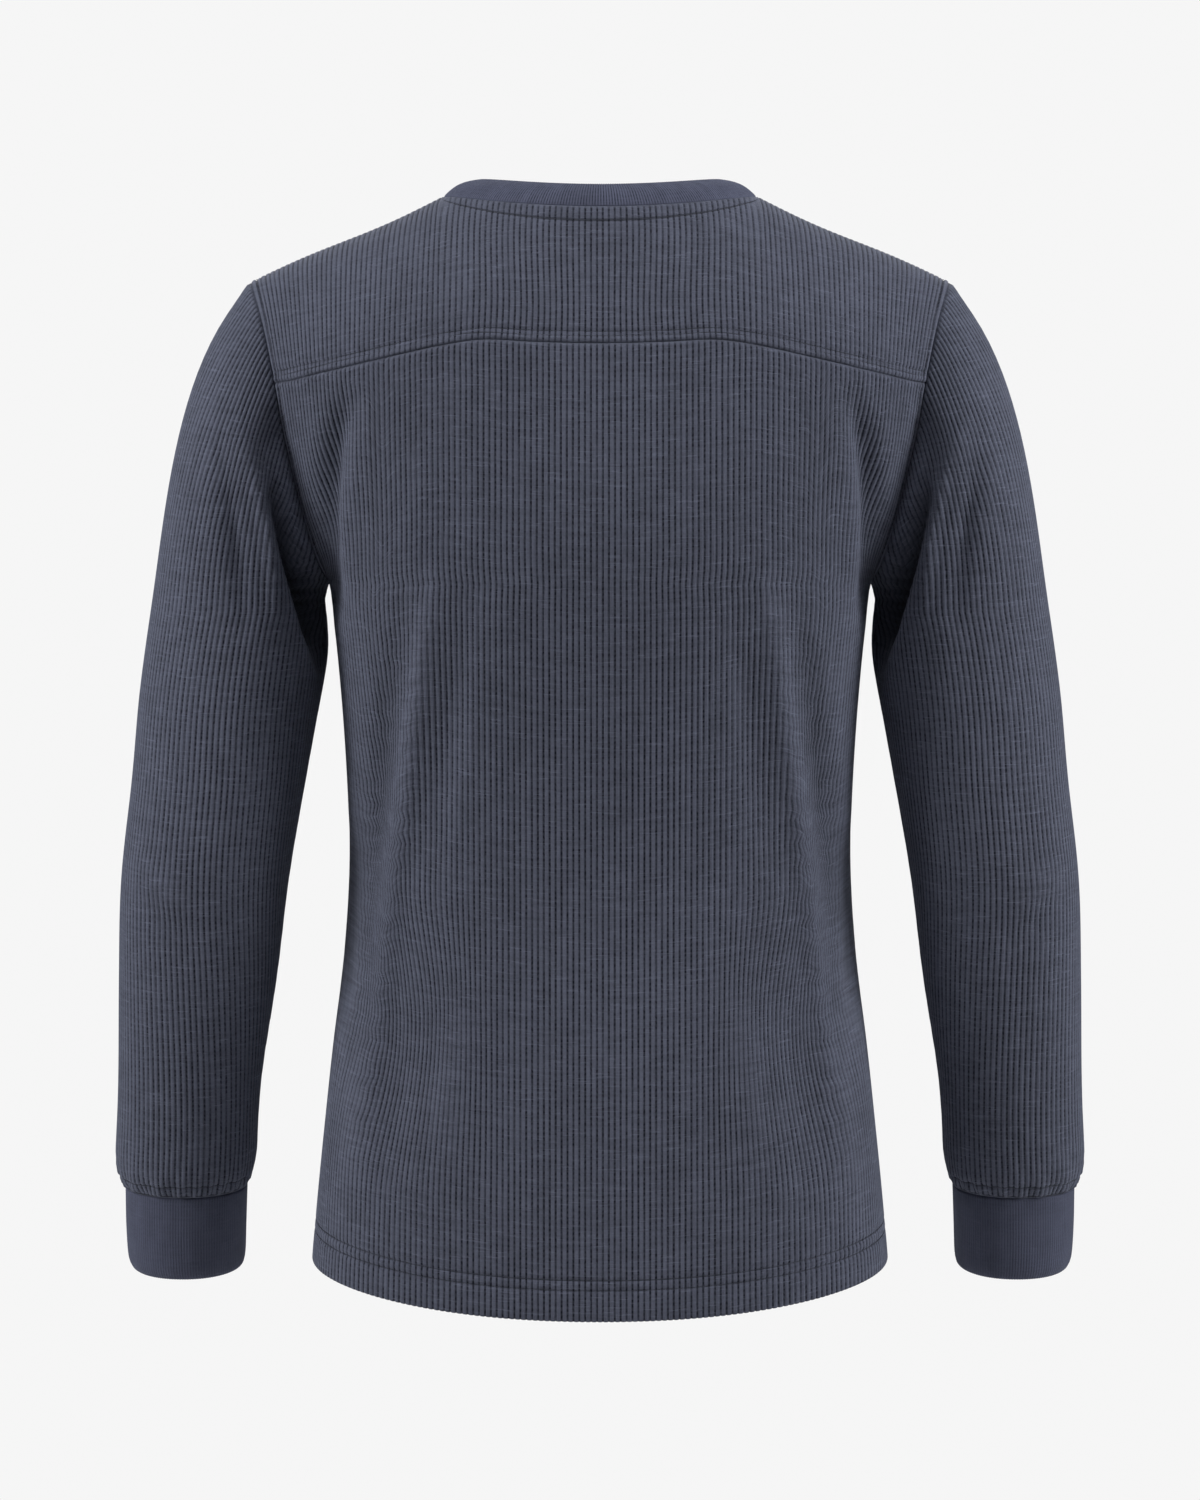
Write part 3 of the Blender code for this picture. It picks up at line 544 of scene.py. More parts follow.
def spline_at(table, place):
    """A table's smooth row at a fractional row number, as a Catmull-Rom spline."""
    table = np.array(table, dtype=float)
    padded = np.vstack([2 * table[0] - table[1], table, 2 * table[-1] - table[-2]])
    index = min(int(place), len(table) - 2)
    step = place - index
    before, start, end, after = padded[index : index + 4]
    return 0.5 * (
        2 * start
        + (end - before) * step
        + (2 * before - 5 * start + 4 * end - after) * step**2
        + (3 * start - before - 3 * end + after) * step**3
    )


def through(table):
    """A smooth run of points through the rows of a table."""
    count = len(table) - 1
    places = np.linspace(0, count, count * SPLINE_SAMPLES + 1)
    return np.array([spline_at(table, place) for place in places])


def spaced(run, shares):
    """The points at the given shares of a run's length."""
    steps = np.linalg.norm(np.diff(run, axis=0), axis=1)
    along = np.concatenate([[0], np.cumsum(steps)]) / steps.sum()
    return np.column_stack([np.interp(shares, along, column) for column in run.T])


@functools.cache
def smooth_table(table):
    """A two-column table as a smooth run, in the order of its first column."""
    run = through(table)
    return run[np.argsort(run[:, 0])]


def looked_up(table, at):
    """A table's smooth value at a place; the table's first column is the place."""
    run = smooth_table(table)
    return np.interp(at, run[:, 0], run[:, 1])


def quarter_section(end_x, end_y, depth_y, power):
    """Plan of half a panel from its centre line to its end, evenly spaced, and its length."""
    reach = abs(depth_y - SIDE_Y)
    end_share = min(abs(end_y - SIDE_Y) / reach, 1.0)
    full_width = end_x / (1 - end_share**power) ** (1 / power)
    end_angle = math.asin(min((end_x / full_width) ** (power / 2), 1.0))
    angles = np.linspace(0, end_angle, PLAN_SAMPLES)
    x = full_width * np.sin(angles) ** (2 / power)
    y = SIDE_Y + math.copysign(reach, depth_y) * np.cos(angles) ** (2 / power)
    x[-1], y[-1] = end_x, end_y
    run = np.column_stack([x, y])
    length = np.linalg.norm(np.diff(run, axis=0), axis=1).sum()
    return spaced(run, np.linspace(0, 1, HALF_COLUMNS + 1)), length


@functools.cache
def armhole_run(side):
    """The armhole seam on one side, from the underarm to the shoulder point."""
    return through(ARMHOLE[side])


def armhole(side, share):
    """Points of the armhole seam at shares of the way from the underarm to the shoulder point."""
    return spaced(armhole_run(side), np.atleast_1d(share))


def low_row(side, level):
    """Half a row between the hem and the underarm."""
    section = Section(*spline_at(SECTIONS, level))
    depth = getattr(section, f"{side}_y")
    plan, length = quarter_section(section.half_width, SIDE_Y, depth, section.power)
    z = section.side_z - section.centre_drop * (1 - (plan[:, 0] / section.half_width) ** 2)
    return np.column_stack([plan, z]), np.linspace(0, length, HALF_COLUMNS + 1)


def rising_row(side, level):
    """Half a row between the underarm and the yoke seam, or the chest line on the front."""
    profile, seam, centre_z = {
        "back": (BACK_PROFILE, YOKE_SEAM, YOKE_CENTRE_Z),
        "front": (FRONT_PROFILE, CHEST_LINE, CHEST_CENTRE_Z),
    }[side]
    share = (level - UNDERARM_LEVEL) / LEVELS_TO_YOKE
    end = armhole(side, (level - UNDERARM_LEVEL) / ARMHOLE_LEVELS)[0]
    middle_z = UNDERARM_Z + (centre_z - UNDERARM_Z) * share
    plan, length = quarter_section(end[0], end[1], looked_up(profile, middle_z), CHEST_POWER)
    across = plan[:, 0] / end[0]
    fall = (1 - share) * across**2 + share * looked_up(seam, across)
    z = middle_z + (end[2] - middle_z) * fall
    return np.column_stack([plan, z]), np.linspace(0, length, HALF_COLUMNS + 1)


@functools.cache
def top_line(side):
    """Half of the neck seam and one shoulder seam, and how far across the ribs each point lies."""
    centre = NECK_CENTRE[side]
    share = np.linspace(0, 1, NECK_COLUMN + 1)
    sine = (share + np.sin(share * math.pi / 2)) / 2
    cosine = np.sqrt(1 - np.minimum(sine, 1) ** 2)
    neck = np.column_stack(
        [
            NECK_HALF_WIDTH * sine,
            SHOULDER_SEAM_Y + (centre.y - SHOULDER_SEAM_Y) * cosine,
            centre.z * cosine ** NECK_DIP[side],
        ]
    )
    share = np.linspace(0, 1, HALF_COLUMNS - NECK_COLUMN + 1)[1:, None]
    shoulder = neck[-1] + (np.array(SHOULDER_POINT) - neck[-1]) * share
    turn = math.pi * share[:, 0]
    shoulder[:, 2] -= SHOULDER_SAG * np.sin(turn) + SHOULDER_WAVE * np.sin(2 * turn)
    along = np.linalg.norm(shoulder - neck[-1], axis=1)
    return np.vstack([neck, shoulder]), np.concatenate([neck[:, 0], NECK_HALF_WIDTH + along])


def hermite(start, leave, end, arrive, share):
    """A point on the smooth curve between two ends with the given directions."""
    return (
        (2 * share**3 - 3 * share**2 + 1) * start
        + (share**3 - 2 * share**2 + share) * leave
        + (3 * share**2 - 2 * share**3) * end
        + (share**3 - share**2) * arrive
    )


@functools.cache
def yoke_frame(side):
    """Ends and directions of the curves that run from the yoke seam or chest line to the top line."""
    start, across_start = rising_row(side, YOKE_LEVEL)
    before, _ = rising_row(side, YOKE_LEVEL - 1)
    end, across_end = top_line(side)
    reach = np.linalg.norm(end - start, axis=1, keepdims=True) * YOKE_FULLNESS
    round_neck = (end[:, 1] - SHOULDER_SEAM_Y) / (end[0, 1] - SHOULDER_SEAM_Y)
    angle = ARRIVAL_AT_SHOULDER + (ARRIVAL_AT_NECK[side] - ARRIVAL_AT_SHOULDER) * round_neck
    inwards = 1.0 if side == "back" else -1.0
    arrive = np.column_stack([0 * angle, inwards * np.cos(angle), np.sin(angle)]) * reach
    return start, unit(start - before) * reach, end, arrive, across_start, across_end


def top_row(side, level):
    """Half a row between the yoke seam or chest line and the top line."""
    start, leave, end, arrive, across_start, across_end = yoke_frame(side)
    share = (level - YOKE_LEVEL) / LEVELS_IN_YOKE
    points = hermite(start, leave, end, arrive, share)
    edge = armhole(side, (level - UNDERARM_LEVEL) / ARMHOLE_LEVELS)[0]
    hold = (np.arange(HALF_COLUMNS + 1)[:, None] / HALF_COLUMNS) ** HELD_AT_ARMHOLE_POWER
    fan = NECK_FAN[side] * np.exp(-(((across_end - NECK_HALF_WIDTH) / NECK_FAN_WIDTH) ** 2))
    across = across_start + (across_end + fan * share - across_start) * share
    return points + hold * (edge - points[-1]), across


def half_row(side, level):
    """Half a row of a body panel at any level, and how far across the ribs each point lies."""
    if level <= UNDERARM_LEVEL:
        return low_row(side, level)
    if level <= YOKE_LEVEL:
        return rising_row(side, level)
    return top_row(side, level)


@functools.cache
def body_levels():
    """Levels from the hem to the top line, about one grid step apart on both panels."""
    levels = [0.0]
    checked = (0, HALF_COLUMNS // 3, 2 * HALF_COLUMNS // 3, HALF_COLUMNS)
    for level in range(TOP_LEVEL):
        far = max(
            np.linalg.norm(half_row(side, level + 1)[0][column] - half_row(side, level)[0][column])
            for side in ("back", "front")
            for column in checked
        )
        steps = math.ceil(far / GRID_STEP)
        levels += [level + step / steps for step in range(1, steps + 1)]
    return tuple(levels)


def blurred(grid, sigma, axis, wrap=False):
    """A grid averaged with its neighbours along one axis."""
    reach = math.ceil(3 * sigma)
    weights = np.exp(-0.5 * (np.arange(-reach, reach + 1) / sigma) ** 2)
    weights /= weights.sum()
    moved = np.moveaxis(grid, axis, 0)
    if wrap:
        padded = np.concatenate([moved[-reach - 1 : -1], moved, moved[1 : reach + 1]])
    else:
        padded = np.concatenate([moved[:1]] * reach + [moved] + [moved[-1:]] * reach)
    total = sum(weight * padded[step : step + len(moved)] for step, weight in enumerate(weights))
    return np.moveaxis(total, 0, axis)


def directions(points, wrap=False):
    """Outward directions of a grid whose rows run up and whose columns run to the right outside."""
    upward = np.gradient(points, axis=0)
    sideways = np.gradient(points, axis=1)
    if wrap:
        round_seam = points[:, 1] - points[:, -2]
        sideways[:, 0] = round_seam
        sideways[:, -1] = round_seam
    return unit(np.cross(sideways, upward))


def risen(points):
    """How far each point lies above the foot of its column."""
    steps = np.linalg.norm(np.diff(points, axis=0), axis=2)
    return np.vstack([np.zeros(points.shape[1]), np.cumsum(steps, axis=0)])


# dark holds painted shading: below zero painted shade, above zero painted light
Grid = namedtuple("Grid", "points out across rise wrap flat dark")


def bend(start, by, end, share):
    """Places on a bend from a start, by way of a middle and to an end."""
    return (1 - share) ** 2 * start + 2 * share * (1 - share) * by + share**2 * end


def crease_share(crease, points, out):
    """How strongly one crease, mirrored on both sides of the top, works at each point, up to 1."""
    x, z = np.abs(points[..., 0]), points[..., 2]
    share = np.linspace(0, 1, CREASE_SAMPLES)
    line_x = bend(crease.from_x, crease.by_x, crease.to_x, share)
    line_z = bend(crease.from_z, crease.by_z, crease.to_z, share)
    nearest = np.full(x.shape, np.inf)
    along = np.zeros(x.shape)
    for at_x, at_z, at in zip(line_x, line_z, share):
        apart = (x - at_x) ** 2 + (z - at_z) ** 2
        along = np.where(apart < nearest, at, along)
        nearest = np.minimum(nearest, apart)
    facing = out[..., 1] * (1 if crease.side == "front" else -1)
    on_side = smooth_step((facing - FACING_FROM) / (FACING_TO - FACING_FROM))
    return np.sin(math.pi * along) * np.exp(-nearest / crease.half_width**2) * on_side


def creased(points, out, creases, from_edge):
    """A grid's points with its creases, held at the seams; how flat its ribs are, and its painted
    shading.
    """
    held = smooth_step(from_edge / HELD_BY_SEAM)
    lift = np.zeros(held.shape)
    flat = np.zeros(held.shape)
    dark = np.zeros(held.shape)
    for crease in creases:
        share = crease_share(crease, points, out)
        lift += crease.height * share * held
        flat = np.maximum(flat, crease.flat * share)
        # Painted shade where a crease's dark is above zero, a painted highlight where it is below zero
        dark -= crease.dark * share
    return points + out * lift[..., None], flat, dark


def softened(points, pinned, wrap=False):
    """A grid with its small kinks smoothed away, except where it is pinned."""
    soft = blurred(blurred(points, SOFTEN_ROWS, 0), SOFTEN_COLUMNS, 1, wrap)
    return points + (soft - points) * pinned[..., None]


def whole(half, side, sign):
    """A full row from half a row, so that its columns run to the right as seen from outside."""
    mirrored = half[::-1] * sign
    row = np.concatenate([mirrored[:-1], half])
    return row if side == "back" else row[::-1]


def drawn_in(across, z):
    """Places across a panel's ribs, with some drawn towards its middle, but none at its edges."""
    place = np.abs(across)
    edge = place[:, -1:]
    aside = np.zeros(across.shape)
    for drawn in BODY_DRAWN:
        down = smooth_step((drawn.from_z - z) / (drawn.from_z - drawn.full_z))
        back_out = smooth_step((drawn.leave_z - z) / (drawn.leave_z - drawn.until_z))
        beside = smooth_step((place - drawn.inner) / (drawn.outer - drawn.inner))
        by_edge = smooth_step((place - drawn.outer) / (edge - drawn.outer))
        aside += drawn.aside * down * (1 - back_out) * beside * (1 - by_edge)
    return across + np.sign(across) * aside


def spread(points, across):
    """How many times wider than its pitch a rib is at each point of a grid."""
    up, right = np.gradient(points, axis=0), np.gradient(points, axis=1)
    more_up, more_right = np.gradient(across, axis=0), np.gradient(across, axis=1)
    up_up, up_right, right_right = (up * up).sum(-1), (up * right).sum(-1), (right * right).sum(-1)
    area = np.maximum(up_up * right_right - up_right**2, LEAST_AREA)
    steep = right_right * more_up**2 - 2 * up_right * more_up * more_right + up_up * more_right**2
    return np.sqrt(area / np.maximum(steep, LEAST_AREA))


def body_grid(side):
    """The grid of the front, or of the back and its yoke together."""
    rows = [half_row(side, level) for level in body_levels()]
    points = np.array([whole(row, side, MIRRORED) for row, _ in rows])
    across = np.array([whole(place, "back", -1) for _, place in rows])
    above = np.array(body_levels()) > UNDERARM_LEVEL
    widest = across[~above][-1, -1]
    share = np.abs(np.linspace(-1, 1, across.shape[1])) ** EASED_TO_ARMHOLE_POWER
    across[above] *= 1 + share * (widest / across[above][:, -1:] - 1)
    across = drawn_in(across, points[..., 2])
    rise = risen(points)
    edge = across[:, -1:]
    nearest_edge = np.minimum(np.minimum(edge - np.abs(across), rise), rise[-1] - rise)
    points = softened(points, smooth_step(nearest_edge / PINNED_BY_EDGE))
    points, flat, dark = creased(points, directions(points), BODY_CREASES, nearest_edge)
    by_side = 1 - smooth_step((edge - np.abs(across)) / FLAT_BY_SIDE)
    flat = np.maximum(flat, SIDE_FLAT * by_side * ~above[:, None])
    stretched_out = smooth_step((spread(points, across) - SPREAD_FROM) / (SPREAD_TO - SPREAD_FROM))
    flat = np.maximum(flat, SPREAD_FLAT * stretched_out)
    return Grid(points, directions(points), across, risen(points), False, flat, dark)


def ring_points(ring, shares, offset=0.0):
    """Points of a sleeve or cuff ring by the share of the way round, and half its girth."""
    angles = np.linspace(-math.pi, math.pi, RING_SAMPLES)
    centre_x = (ring.outer_x + ring.inner_x) / 2
    half_width = (ring.outer_x - ring.inner_x) / 2 + offset
    cosine, sine = np.cos(angles), np.sin(angles)
    x = centre_x + half_width * np.sign(cosine) * np.abs(cosine) ** (2 / SLEEVE_POWER)
    away = (ring.half_depth + offset) * np.sign(sine) * np.abs(sine) ** (2 / SLEEVE_POWER)
    run = np.column_stack([x, ring.centre_y + away, ring.z + ring.lean * away])
    girth = np.linalg.norm(np.diff(run, axis=0), axis=1).sum()
    return spaced(run, shares), girth / 2


def armhole_loop(shares):
    """The +X armhole seam, from the underarm by the back and over the shoulder point."""
    back = armhole("back", np.clip(2 * shares, 0, 1))
    front = armhole("front", np.clip(2 - 2 * shares, 0, 1))
    return np.where(shares[:, None] <= 0.5, back, front)


@functools.cache
def cap_frame():
    """Ends and directions of the curves that run from the armhole seam to the top sleeve ring."""
    shares = np.linspace(0, 1, SLEEVE_COLUMNS + 1)
    seam = armhole_loop(shares)
    top, half_girth = ring_points(SLEEVE_RINGS[-1], shares)
    under, _ = ring_points(SLEEVE_RINGS[-2], shares)
    from_shoulder = np.abs(1 - 2 * shares)
    table = np.array(SLEEVE_LEAVING)
    out, away, down = (np.interp(from_shoulder, table[:, 0], column) for column in table[:, 1:].T)
    leaving = np.column_stack([out, np.where(shares < 0.5, -away, away), -down])
    reach = np.linalg.norm(top - seam, axis=1, keepdims=True) * CAP_FULLNESS
    return seam, unit(leaving) * reach, top, unit(under - top) * reach, half_girth


def arm_rows(shares):
    """Rows of the +X sleeve from the cuff seam to below its top ring, and half their girths."""
    rows = []
    for index, (lower, upper) in enumerate(zip(SLEEVE_RINGS, SLEEVE_RINGS[1:])):
        steps = math.ceil(abs(upper.z - lower.z) / GRID_STEP)
        for step in range(steps):
            ring = Ring(*spline_at(SLEEVE_RINGS, index + step / steps))
            rows.append(ring_points(ring, shares))
    points, girths = zip(*rows)
    return list(points), list(girths)


def sleeve_grid():
    """The grid of the +X sleeve, from the cuff seam to the armhole, open along the underarm seam."""
    shares = np.linspace(0, 1, SLEEVE_COLUMNS + 1)
    seam, leave, top, arrive, cap_girth = cap_frame()
    arm, girths = arm_rows(shares)
    steps = math.ceil(np.linalg.norm(top - seam, axis=1).max() / GRID_STEP)
    cap = [hermite(seam, leave, top, arrive, 1 - step / steps) for step in range(steps + 1)]
    points = np.array(arm + cap)
    girths = np.array(girths + [cap_girth] * len(cap))
    above_cuff = points[:, 0, 2] > SLEEVE_RINGS[GATHERED_RING].z
    girths[~above_cuff] = girths[above_cuff][0]
    across = girths[:, None] * (2 * shares - 1)
    rise = risen(points)
    cap_length = rise[-1] - rise[len(arm)]
    by_seam = np.clip(1 - (rise[-1] - rise) / CAP_DRAWN_REACH, 0, 1) ** 2
    up_cap = smooth_step(cap_length / CAP_DRAWN_REACH) * smooth_step(np.abs(shares - 0.5) / CAP_CROWN)
    across += np.sign(shares - 0.5) * CAP_DRAWN * by_seam * up_cap
    nearest_edge = np.minimum(rise, rise[-1] - rise)
    points = softened(points, smooth_step(nearest_edge / PINNED_BY_EDGE), wrap=True)
    out = directions(points, wrap=True)
    points, flat, dark = creased(points, out, SLEEVE_CREASES, nearest_edge)
    return Grid(points, directions(points, wrap=True), across, risen(points), True, flat, dark)


def neckband_foot():
    """The neck seam, from the left shoulder by the back, the right shoulder and the front."""
    back, _ = top_line("back")
    front, _ = top_line("front")
    back, front = back[: NECK_COLUMN + 1], front[: NECK_COLUMN + 1]
    behind = np.vstack([back[:0:-1] * MIRRORED, back[:-1]])
    return np.vstack([behind, front[:0:-1], front * MIRRORED])


def neckband_grid():
    """The neckband from its seam up to its top edge, leaning in towards the neck."""
    foot = neckband_foot()
    sine = foot[:, 0] / NECK_HALF_WIDTH
    cosine = np.sqrt(np.maximum(1 - sine**2, 0))
    behind = foot[:, 1] <= SHOULDER_SEAM_Y
    back, front = BAND_TOP["back"], BAND_TOP["front"]
    end_y = np.where(behind, back.y, front.y)
    end_z = np.where(behind, back.z, front.z)
    level = np.where(behind, cosine ** NECK_DIP["back"], cosine ** NECK_DIP["front"])
    middle_y = (back.y + front.y) / 2
    top = np.column_stack(
        [
            BAND_TOP_HALF_WIDTH * sine,
            middle_y + (end_y - middle_y) * cosine,
            BAND_TOP_SIDE_Z + (end_z - BAND_TOP_SIDE_Z) * level,
        ]
    )
    shares = np.linspace(0, 1, NECKBAND_ROWS)
    points = np.array([foot + (top - foot) * share for share in shares])
    out = directions(points, wrap=True)
    points = points + out * (BAND_CROWN * np.sin(math.pi * shares))[:, None, None]
    steps = np.linalg.norm(np.diff(foot, axis=0), axis=1)
    along = np.concatenate([[0], np.cumsum(steps)])
    across = np.tile(along, (len(shares), 1))
    plain = np.zeros(across.shape)
    out = directions(points, wrap=True)
    # The neckband's painted light, the same all over
    return Grid(points, out, across, risen(points), True, plain, plain + NECKBAND_PAINTED_LIGHT)


def cuff_grid():
    """The grid of the +X cuff, from its bottom edge up to the sleeve."""
    shares = np.linspace(0, 1, SLEEVE_COLUMNS + 1)
    places = np.linspace(0, len(CUFF_RINGS) - 1, CUFF_ROWS)
    rings = [Ring(*spline_at(CUFF_RINGS, place)) for place in places]
    points = np.array([ring_points(ring, shares)[0] for ring in rings])
    _, half_girth = ring_points(CUFF_RINGS[-1], shares)
    across = np.tile(half_girth * (2 * shares - 1), (len(places), 1))
    flat = np.full(across.shape, CUFF_FLAT)
    return Grid(points, directions(points, wrap=True), across, risen(points), True, flat, 0 * across)


def meet_at_sides(back, front, sleeve):
    """Give the panels and the sleeve common outward directions along the seams of both sides."""
    levels = np.array(body_levels())
    low = levels <= UNDERARM_LEVEL
    back.out[low, -1] = front.out[low, 0] = unit(back.out[low, -1] + front.out[low, 0])
    high_share = (levels[~low] - UNDERARM_LEVEL) / ARMHOLE_LEVELS
    half = SLEEVE_COLUMNS // 2
    seam_share = 2 * np.linspace(0, 1, SLEEVE_COLUMNS + 1)[: half + 1]
    seam = sleeve.out[-1].copy()
    behind, before = slice(0, half + 1), slice(half, None)
    for panel, edge, columns, order in ((back, -1, behind, 1), (front, 0, before, -1)):
        parts = seam[columns][::order].T
        on_seam = np.column_stack([np.interp(high_share, seam_share, part) for part in parts])
        panel.out[~low, edge] = unit(on_seam + panel.out[~low, edge])
        for axis, part in enumerate(panel.out[~low, edge].T):
            sleeve.out[-1, columns, axis] = np.interp(seam_share, high_share, part)[::order]
    back.out[:, 0] = back.out[:, -1] * MIRRORED
    front.out[:, -1] = front.out[:, 0] * MIRRORED


def meet_at_top(back, front, band):
    """Give the panels and the neckband common outward directions at the shoulders and the neck."""
    behind, before = slice(None, 2 * NECK_COLUMN + 1), slice(2 * NECK_COLUMN, None)
    shoulders = unit(back.out[-1] + front.out[-1][::-1])
    neck_back = unit(back.out[-1, NECK_COLUMNS] + band.out[0, behind])
    neck_front = unit(front.out[-1, NECK_COLUMNS] + band.out[0, before])
    back.out[-1], front.out[-1] = shoulders, shoulders[::-1]
    back.out[-1, NECK_COLUMNS] = band.out[0, behind] = neck_back
    front.out[-1, NECK_COLUMNS] = band.out[0, before] = neck_front


@functools.cache
def grids():
    """The smooth grids of all pieces, with common outward directions where they are sewn together."""
    back, front, sleeve, band = body_grid("back"), body_grid("front"), sleeve_grid(), neckband_grid()
    meet_at_sides(back, front, sleeve)
    meet_at_top(back, front, band)
    return {"back": back, "front": front, "sleeve": sleeve, "band": band, "cuff": cuff_grid()}


def rows_between(grid, first, last):
    """Part of a grid, from one of its rows to another."""
    rows = slice(first, last + 1)
    points = grid.points[rows]
    fields = (field[rows] for field in (grid.flat, grid.dark))
    return Grid(points, grid.out[rows], grid.across[rows], risen(points), grid.wrap, *fields)


def back_and_yoke():
    """The grids of the back and of its yoke, which meet at the yoke seam."""
    seam, last = body_levels().index(float(YOKE_LEVEL)), len(body_levels()) - 1
    return rows_between(grids()["back"], 0, seam), rows_between(grids()["back"], seam, last)


# ---------------------------------------------------------------- knitted cloth

Knit = namedtuple("Knit", "points out across rise fall gap inside heights flat dark")


def row_places(length, close, plain_step=ROW_STEP):
    """Distances from a piece's foot at which its rows lie, close together in the given stretches."""
    places = [0.0]
    while places[-1] < length - SEAM_ROW_STEP / 2:
        here = places[-1]
        if any(start <= here + LEAST_STEP < end for start, end in close):
            step = SEAM_ROW_STEP
        else:
            ahead = [start - here for start, _ in close if start > here] + [plain_step]
            step = max(min(ahead), SEAM_ROW_STEP)
        places.append(min(here + step, length))
    places[-1] = length
    return np.array(places)


def rib_columns(reach, pitch):
    """Places across a panel of all its ribs' columns, on both sides of its centre, and their heights."""
    ribs = int(reach / pitch) + 2
    place = np.array([rib + column.place for rib in range(ribs) for column in RIB]) * pitch
    height = np.array([column.height for _ in range(ribs) for column in RIB])
    return np.concatenate([-place[::-1][:-1], place]), np.concatenate([height[::-1][:-1], height])


def ring_columns(length, pitch):
    """Places round a ring of its ribs' columns, their heights, and the whole number of ribs."""
    ribs = round(length / pitch)
    place = np.array([rib + column.place for rib in range(ribs) for column in RIB]) * length / ribs
    return place, np.array([column.height for _ in range(ribs) for column in RIB]), ribs


def knitted(grid, places, columns, heights, closed=False):
    """A grid read at rows of given distances from the foot and at columns along the ribs."""
    mean_rise = grid.rise.mean(axis=1)
    fall = grid.rise[-1] - grid.rise
    at = np.interp(places, mean_rise, np.arange(len(mean_rise)))
    single = np.stack([grid.across, grid.rise, fall, grid.flat, grid.dark], axis=2)
    channels = np.concatenate([single, grid.points, grid.out], axis=2)
    lower = np.minimum(at.astype(int), len(mean_rise) - 2)
    share = (at - lower)[:, None, None]
    rows = channels[lower] * (1 - share) + channels[lower + 1] * share
    read = np.array([[np.interp(columns, row[:, 0], channel) for channel in row.T] for row in rows])
    across, rise, fall, flat, dark = (read[:, channel] for channel in range(5))
    points, out = read[:, 5:8].transpose(0, 2, 1), read[:, 8:].transpose(0, 2, 1)
    first, last = rows[:, :1, 0], rows[:, -1:, 0]
    inside = np.full(across.shape, True)
    if not closed:
        inside = (columns > first + SLIVER) & (columns < last - SLIVER)
    gap = np.minimum(across - first, last - across)
    return Knit(points, unit(out), across, rise, fall, gap, inside, heights, flat, dark)


# What is sewn at an edge: how far each point lies from it and along it, how strongly the sewing works
# there, how far the cloth rolls under, how far the layers of the seam reach, and the rows of stitches
EdgeWork = namedtuple(
    "EdgeWork", "distance along strength rolled flat_to stitches line_width", defaults=(1.0,)
)
# The second field holds the puffs' wear together with painted shade in troughs and seam grooves and
# painted light
Worked = namedtuple("Worked", "relief wear faded from_stitches")


def waves(along, kind, lean=0.0):
    """Uneven waves along a seam, from -1 to 1."""
    return np.sin(along * kind.turn + kind.drift * np.sin(along * kind.drift_turn) + lean)


def bell(distance, width):
    """A soft bump, 1 at no distance and wide by the given width."""
    return np.exp(-((distance / width) ** 2))


def worked(knit, rib_height, edges):
    """What sewing, wear and painted shading do to each outer point, with its height over the plain grid.
    """
    pressed = knit.flat.copy()
    faded = knit.flat.copy()
    relief = np.zeros(knit.rise.shape)
    # Painted shade in the creases' troughs, painted highlights on their ridges and painted light on the
    # neckband
    wear = knit.dark.copy()
    from_stitches = np.full(knit.rise.shape, NO_STITCHES)
    for edge in edges:
        pucker = waves(edge.along, PUCKER)
        if edge.rolled:
            rolled = edge.strength * edge.rolled
            groove = rolled * bell(edge.distance, SEAM_ROLL_WIDTH)
            puff = rolled * bell(edge.distance - SEAM_PUFF_AT, SEAM_PUFF_WIDTH)
            puff *= 1 - SEAM_PUCKER + SEAM_PUCKER * pucker
            relief += SEAM_PUFF * puff - SEAM_ROLL * groove
            # Wear lightens the puff; painted shade darkens the groove where the cloth rolls under
            wear += PUFF_WEAR * puff - PAINTED_SEAM_SHADE * groove
            near_seam = edge.strength * (1 - smooth_step(edge.distance / SEAM_FLAT))
            pressed = np.maximum(pressed, near_seam)
            faded = np.maximum(faded, near_seam)
        if edge.flat_to:
            past_layers = smooth_step((edge.distance - edge.flat_to) / LAYERED_END)
            pressed = np.maximum(pressed, LAYERED_FLAT * edge.strength * (1 - past_layers))
            between = edge.strength * np.sin(math.pi * np.clip(edge.distance / edge.flat_to, 0, 1))
            relief += LAYERED_PUFF * SEAM_PUFF * between
            wear += PUFF_WEAR * between
        for stitch in edge.stitches:
            from_stitch = np.abs(edge.distance - stitch)
            dent = edge.strength * bell(from_stitch, STITCH_DENT_WIDTH)
            dent *= 1 - STITCH_PUCKER + STITCH_PUCKER * pucker
            pressed = np.maximum(pressed, STITCH_FLAT * dent)
            relief -= STITCH_DENT * dent
            away = np.where(edge.strength > 0.5, from_stitch, NO_STITCHES)
            from_stitches = np.minimum(from_stitches, away / edge.line_width)
    height = rib_height * knit.heights * (1 - pressed) + relief
    return Worked(height, np.maximum(wear, -1), faded, from_stitches)


def row_numbers(inside, closed, first=0):
    """Numbers for a grid's points; all of a row's points past its edge share the edge's number."""
    keep = inside.copy()
    if not closed:
        rows = np.arange(len(inside))
        keep[rows, inside.argmax(axis=1) - 1] = True
        keep[rows, inside.shape[1] - inside[:, ::-1].argmax(axis=1)] = True
    in_row = np.maximum(np.cumsum(keep, axis=1) - 1, 0)
    before = np.concatenate([[0], np.cumsum(keep.sum(axis=1))[:-1]])
    return in_row + before[:, None] + first, keep


